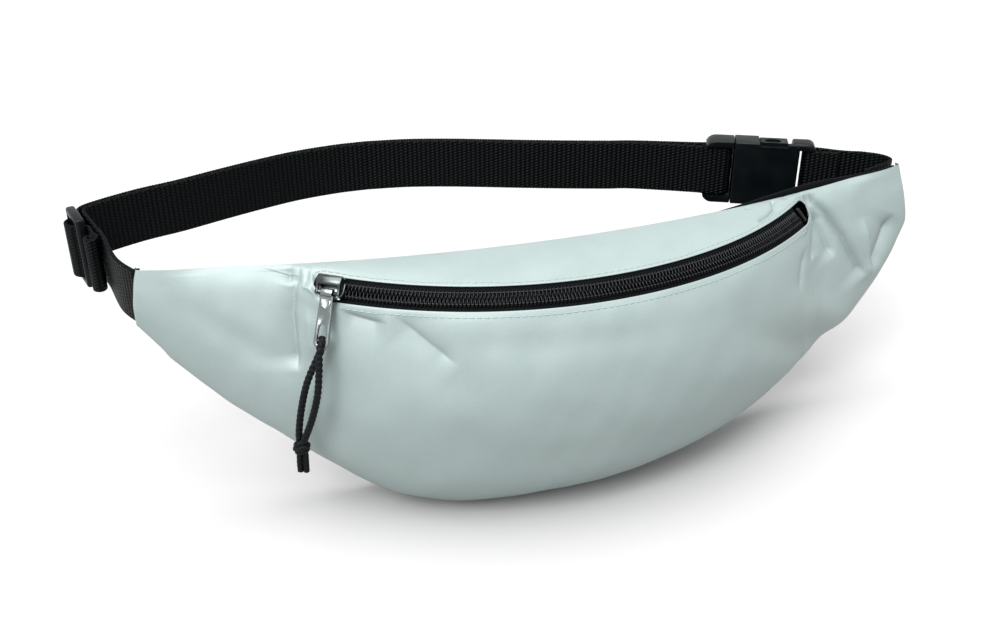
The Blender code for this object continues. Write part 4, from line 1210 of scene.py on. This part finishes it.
def belt():
    step = 0.5 * MM
    outer, inner = layer(LAYER), layer(-LAYER)
    cut = int(np.argmin(np.abs(outer[:, 0] - SPLIT_X)))
    last = len(outer) - 45
    heading = -25.0
    turn = 1.5 * MM + GAP + WEB_THICK / 2 + 0.35 * MM
    pivot = BUCKLE_FRAME @ Vector((STRAP_BAR * MM, 0, 0))
    loop = arc(pivot, turn, heading + 90, heading - 90, 8)
    far = ([Vector(p) for p in outer[cut:last:40]] + [Vector(outer[last])]
           + in_plan(BUCKLE_FRAME, [(-6, 2.2), (-1, 2.9), (5, 2.9)]))
    near = (in_plan(BUCKLE_FRAME, [(5, -2.9), (-1, -2.9), (-6, -2.2)])
            + [Vector(inner[last])] + [Vector(p) for p in inner[cut:last:40]][::-1])
    right = strap("belt_right", smooth_line(far + loop + near, step), body=None,
                  nodes=("belt_outer_run", "belt_inner_run", "belt_buckle_end"))
    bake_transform(right)

    # from the left wing, behind the ladder frame, to the inner layer of the back run
    sew = [Vector((x, float(back_y(x * MM)) / MM - 2.1, 0)) * MM for x in (-173, -174.5, -176)]
    sew += [Vector((-182, 38, 0)) * MM]
    behind = in_plan(TRIGLIDE_FRAME, [(-19, -5.9), (-10, -5.6), (0, -5.4), (9, -5.5)])
    onward = [Vector((-190.6, 92.6, 0)) * MM] + [Vector(p) for p in inner[24:cut:40]] + [Vector(inner[cut])]
    strap("belt_left_inner", smooth_line(sew + behind + onward, step), nodes=("belt_wing_strap",))

    # the outer layer's end, over the frame's centre bar and out at its near side to a rolled hem
    woven = in_plan(TRIGLIDE_FRAME, [(10.8, -3.1), (7.7, -3.0), (5.0, -0.9), (3.8, 2.4), (1.6, 4.2),
                                     (-1.6, 4.2), (-3.8, 2.4), (-5.0, -0.9), (-7.7, -3.0), (-10.8, -3.1)])
    hem = in_plan(TRIGLIDE_FRAME, [(-14, -2.9), (-17.4, -3.7), (-20.2, -3.0), (-21.4, -1.2), (-20.4, 0.7),
                                   (-18.2, 1.1), (-16.6, 0.1), (-17.0, -1.3), (-18.6, -1.3)])
    route = ([Vector(outer[cut])] + [Vector(p) for p in outer[24:cut:40]][::-1] + [Vector((-192.0, 94.5, 0)) * MM]
             + woven + hem)
    end = strap("belt_left_outer", smooth_line(route, step), nodes=("belt_adjuster_end",), thick=1.3 * MM, body=None)
    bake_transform(end)

    pivot = BUCKLE_FRAME @ Vector((48.4 * MM, 0, 0))
    turn_back = arc(pivot, turn, heading + 270, heading + 90, 8)
    near = in_plan(BUCKLE_FRAME, [(62, -2.3), (56, -2.6)])
    far = in_plan(BUCKLE_FRAME, [(54, 2.4), (60, 1.0), (67, 0.1)])
    tip = [Vector(p) * MM for p in ((167, 42.6, 0), (173.4, 37.4, 0), (175.4, 32.6, 0), (173.2, 29.2, 0),
                                    (167, 26.6, 0), (156, 23.0, 0))]
    strap("belt_right_short", smooth_line(near + turn_back + far + tip, step), nodes=("right_strap",))


# ------------------------------------------------------------------ buckle and ladder frame

def rounded(low_x, high_x, low_y, high_y, radii, steps=7):
    """A rectangle's outline in millimetres, with its own radius at each corner, anticlockwise from low."""
    corners = ((low_x, low_y, 1, 1, 180), (high_x, low_y, -1, 1, 270), (high_x, high_y, -1, -1, 0),
               (low_x, high_y, 1, -1, 90))
    points = []
    for (cx, cy, sx, sy, turn), r in zip(corners, radii):
        for k in range(steps):
            a = math.radians(turn + 90 * k / (steps - 1))
            points.append(((cx + sx * r + r * math.cos(a)) * MM, (cy + sy * r + r * math.sin(a)) * MM))
    return points


def oval(cx, cy, a, b, count=28):
    return [((cx + a * math.cos(2 * math.pi * k / count)) * MM, (cy + b * math.sin(2 * math.pi * k / count)) * MM)
            for k in range(count)]


BUCKLE_FACE = BUCKLE_FRAME @ Matrix(((1, 0, 0, 0), (0, 0, 1, 0), (0, 1, 0, 0), (0, 0, 0, 1)))
# the buckle's stations from its left end, in mm: mouth, press pods, shoulder, end of its strap frame
MOUTH, POD_START, POD_STOP, SHOULDER, FRAME_STOP = 12.0, 24.1, 37.5, 42.8, 50.8
HALF_HIGH, HALF_DEEP = 16.2, 5.6


def buckle_female():
    """The flat socket, with a U notch at each side for a press pod, and a strap frame."""
    at, lay = BUCKLE_FRAME, BUCKLE_FACE
    shell = outline(rounded(MOUTH + 0.2, SHOULDER, -HALF_HIGH, HALF_HIGH, (0.7, 2.0, 2.0, 0.7)),
                    -HALF_DEEP * MM, HALF_DEEP * MM, lay, 1.2 * MM, 4)
    steps = []
    for side in (-1, 1):
        for face in (-1, 1):             # the raised lip that runs round each notch
            low, high = sorted((side * 13.7, side * 15.6))
            front, back = sorted((face * 5.3 * MM, face * 5.95 * MM))
            lip = outline(rounded(POD_START - 1.3, POD_STOP + 1.3, low, high, (0.9, 0.9, 0.9, 0.9)), front, back, lay)
            steps.append(("UNION", lip))
    steps.append(("DIFFERENCE", block((10 * MM, -3.6 * MM, -11.4 * MM), (39 * MM, 3.6 * MM, 11.4 * MM), at)))
    for side in (-1, 1):
        low, high = sorted((side * 14.6, side * 20))
        notch = rounded(POD_START - 0.35, POD_STOP + 0.35, low, high, (1.2, 1.2, 1.2, 1.2))
        steps.append(("DIFFERENCE", outline(notch, -8 * MM, 8 * MM, lay)))
        low, high = sorted((side * 10.5 * MM, side * 16 * MM))
        window = block((POD_START * MM - GAP, -3.6 * MM, low), ((POD_STOP + 0.9) * MM, 3.6 * MM, high), at)
        steps.append(("DIFFERENCE", window))
        low, high = sorted((side * 12.6 * MM, side * 20 * MM))
        steps.append(("DIFFERENCE", block((POD_STOP * MM, -4.3 * MM, low), (46 * MM, 8 * MM, high), at)))
    end = outline(rounded(SHOULDER - 3.2, FRAME_STOP, -HALF_HIGH, HALF_HIGH, (1.4, 3.6, 3.6, 1.4)),
                  -4.4 * MM, 4.4 * MM, lay, 1.5 * MM, 4)
    steps.append(("UNION", end))
    inner = outline(rounded(SHOULDER + 0.4, 47.0, -12.9, 12.9, (0.8, 0.8, 0.8, 0.8)), -6 * MM, 6 * MM, lay)
    steps.append(("DIFFERENCE", inner))
    for low, high in ((1.5, 8), (-8, -1.5)):
        steps.append(("DIFFERENCE", block(((SHOULDER + 0.4) * MM, low * MM, -12.9 * MM),
                                          (56 * MM, high * MM, 12.9 * MM), at)))
    for side in (-1, 1):
        gap = [((39.3 + a) * MM, side * b * MM) for a, b in ((-1.7, 20), (-0.6, 12.6), (0.2, 12.6), (1.4, 20))]
        steps.append(("DIFFERENCE", outline(gap, -4.5 * MM, 8 * MM, lay)))
    mesh = shaped("buckle_socket", shell, steps, 0.25 * MM)
    add("buckle_socket", mesh, "plastic", "root", ("buckle_female",))


def buckle_male():
    """The plug: rounded rails, two bars, a thin head at the mouth and a guide tongue."""
    at, lay = BUCKLE_FRAME, BUCKLE_FACE
    rails = outline(rounded(-2.0, MOUTH, -HALF_HIGH, HALF_HIGH, (5.0, 0.7, 0.7, 5.0)),
                    -5.0 * MM, 5.0 * MM, lay, 1.9 * MM, 5)
    steps = [("DIFFERENCE", outline(rounded(0.4, 6.6, -13.1, 13.1, (0.6, 0.6, 0.6, 0.6)), -9 * MM, 9 * MM, lay)),
             ("DIFFERENCE", outline(rounded(9.0, 11.6, -13.1, 13.1, (0.4, 0.4, 0.4, 0.4)), -9 * MM, 9 * MM, lay))]
    for low, high in ((1.5, 9.0), (-9.0, -1.5)):
        steps.append(("DIFFERENCE", block((-6 * MM, low * MM, -13.1 * MM), (11.6 * MM, high * MM, 13.1 * MM), at)))
    steps.append(("UNION", block((11.7 * MM, -3.3 * MM, -11 * MM), (14 * MM, 3.3 * MM, 11 * MM), at, 0.3 * MM)))
    steps.append(("UNION", block((13 * MM, -2.2 * MM, -2.6 * MM), (31 * MM, 2.2 * MM, 2.6 * MM), at, 0.6 * MM)))
    mesh = shaped("buckle_plug", rails, steps, 0.3 * MM)
    add("buckle_plug", mesh, "plastic", "buckle_male", ("buckle_male",))
    for side, name in ((1, "upper"), (-1, "lower")):
        low, high = sorted((side * 8.2 * MM, side * 10.4 * MM))
        arm = block((14.3 * MM, -2.9 * MM, low), (36 * MM, 2.9 * MM, high), at, 0.7 * MM)
        low, high = sorted((side * 14.9, side * 16.1))
        cap = outline(rounded(POD_START, POD_STOP, low, high, (0.6, 0.6, 0.6, 0.6)), -3.3 * MM, 3.3 * MM, lay)
        low, high = sorted((side * 9.6 * MM, side * 15.3 * MM))
        core = block((POD_START * MM + GAP, -3.2 * MM, low), (POD_STOP * MM - GAP, 3.2 * MM, high), at)
        low, high = sorted((side * 15.35 * MM, side * 18 * MM))
        dimple = outline(oval((POD_START + POD_STOP) / 2 - 0.6, -0.9, 3.9, 2.3), low, high, at)
        steps = [("UNION", cap), ("UNION", core), ("DIFFERENCE", dimple)]
        mesh = shaped("prong_arm_" + name, arm, steps, 0.45 * MM)
        add("prong_arm_" + name, mesh, "plastic", "prong_" + name, ("prong_" + name,))


def ladder_frame():
    at = TRIGLIDE_FRAME
    body = block((-8.7 * MM, -2.0 * MM, -16.1 * MM), (8.7 * MM, 2.0 * MM, 16.1 * MM), at, 1.1 * MM, 3)
    steps = []
    for side in (-1, 1):
        low, high = sorted((side * 1.2 * MM, side * 6.8 * MM))
        steps.append(("DIFFERENCE", block((low, -5 * MM, -13.2 * MM), (high, 5 * MM, 13.2 * MM), at, 0.8 * MM)))
    mesh = shaped("ladder_frame", body, steps, 0.3 * MM)
    add("ladder_frame", mesh, "plastic", "triglide", ("triglide",))


# ------------------------------------------------------------------ build

cloth, cloth_x, cloth_points, cloth_v, cloth_normal = bag_cloth()
rear = back_cloth()
zip_tapes()
zip_coils()
zip_stops()
slot_stitching(cloth_x, cloth_points, cloth_v, cloth_normal)
slider()
pull_tab()
cords()
belt()
buckle_female()
buckle_male()
ladder_frame()
top_binding()
tip_bindings()
inner_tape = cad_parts["bottom_seam_binding"]
inner_tape.data.materials.clear()
inner_tape.data.materials.append(MATS["tape"])


# ------------------------------------------------------------------ stage, light and camera

def stage():
    bm = bmesh.new()
    bmesh.ops.create_grid(bm, x_segments=1, y_segments=1, size=6)
    bmesh.ops.translate(bm, vec=(0, 0, cad_box[0][2] - 0.5 * MM), verts=bm.verts)
    mesh = to_mesh(bm, "floor")
    mesh.materials.append(floor_material())
    floor = bpy.data.objects.new("floor", mesh)
    bpy.context.scene.collection.objects.link(floor)


def sun_light(name, toward, strength, spread, colour):
    data = bpy.data.lights.new(name, "SUN")
    data.energy = strength
    data.angle = math.radians(spread)
    data.color = colour
    lamp = bpy.data.objects.new(name, data)
    bpy.context.scene.collection.objects.link(lamp)
    lamp.rotation_euler = Vector(toward).to_track_quat("-Z", "Y").to_euler()


def light():
    world = bpy.data.worlds.new("studio")
    world.use_nodes = True
    world.node_tree.nodes["Background"].inputs["Color"].default_value = (0.985, 1.0, 1.0, 1)
    world.node_tree.nodes["Background"].inputs["Strength"].default_value = 1.0
    bpy.context.scene.world = world
    sun_light("overhead", (0.12, 0.10, -1.0), 4.7, 55, (1.0, 0.99, 0.99))
    sun_light("front", (0.50, 0.50, -0.70), 3.2, 30, (1.0, 0.99, 0.99))


def camera():
    data = bpy.data.cameras.new("camera")
    data.sensor_width = 36
    data.lens = 42.12
    cam = bpy.data.objects.new("camera", data)
    bpy.context.scene.collection.objects.link(cam)
    right = Vector((0.95253, -0.30445, 0))
    up = Vector((0.15222, 0.47626, 0.86603))
    back = Vector((-0.26366, -0.82491, 0.5))
    turn = Matrix((right, up, back)).transposed().to_4x4()
    turn.translation = Vector((-0.1616, -0.40839, 0.2290))
    cam.matrix_world = turn
    bpy.context.scene.camera = cam


stage()
light()
camera()
bpy.context.scene.view_settings.view_transform = "Standard"
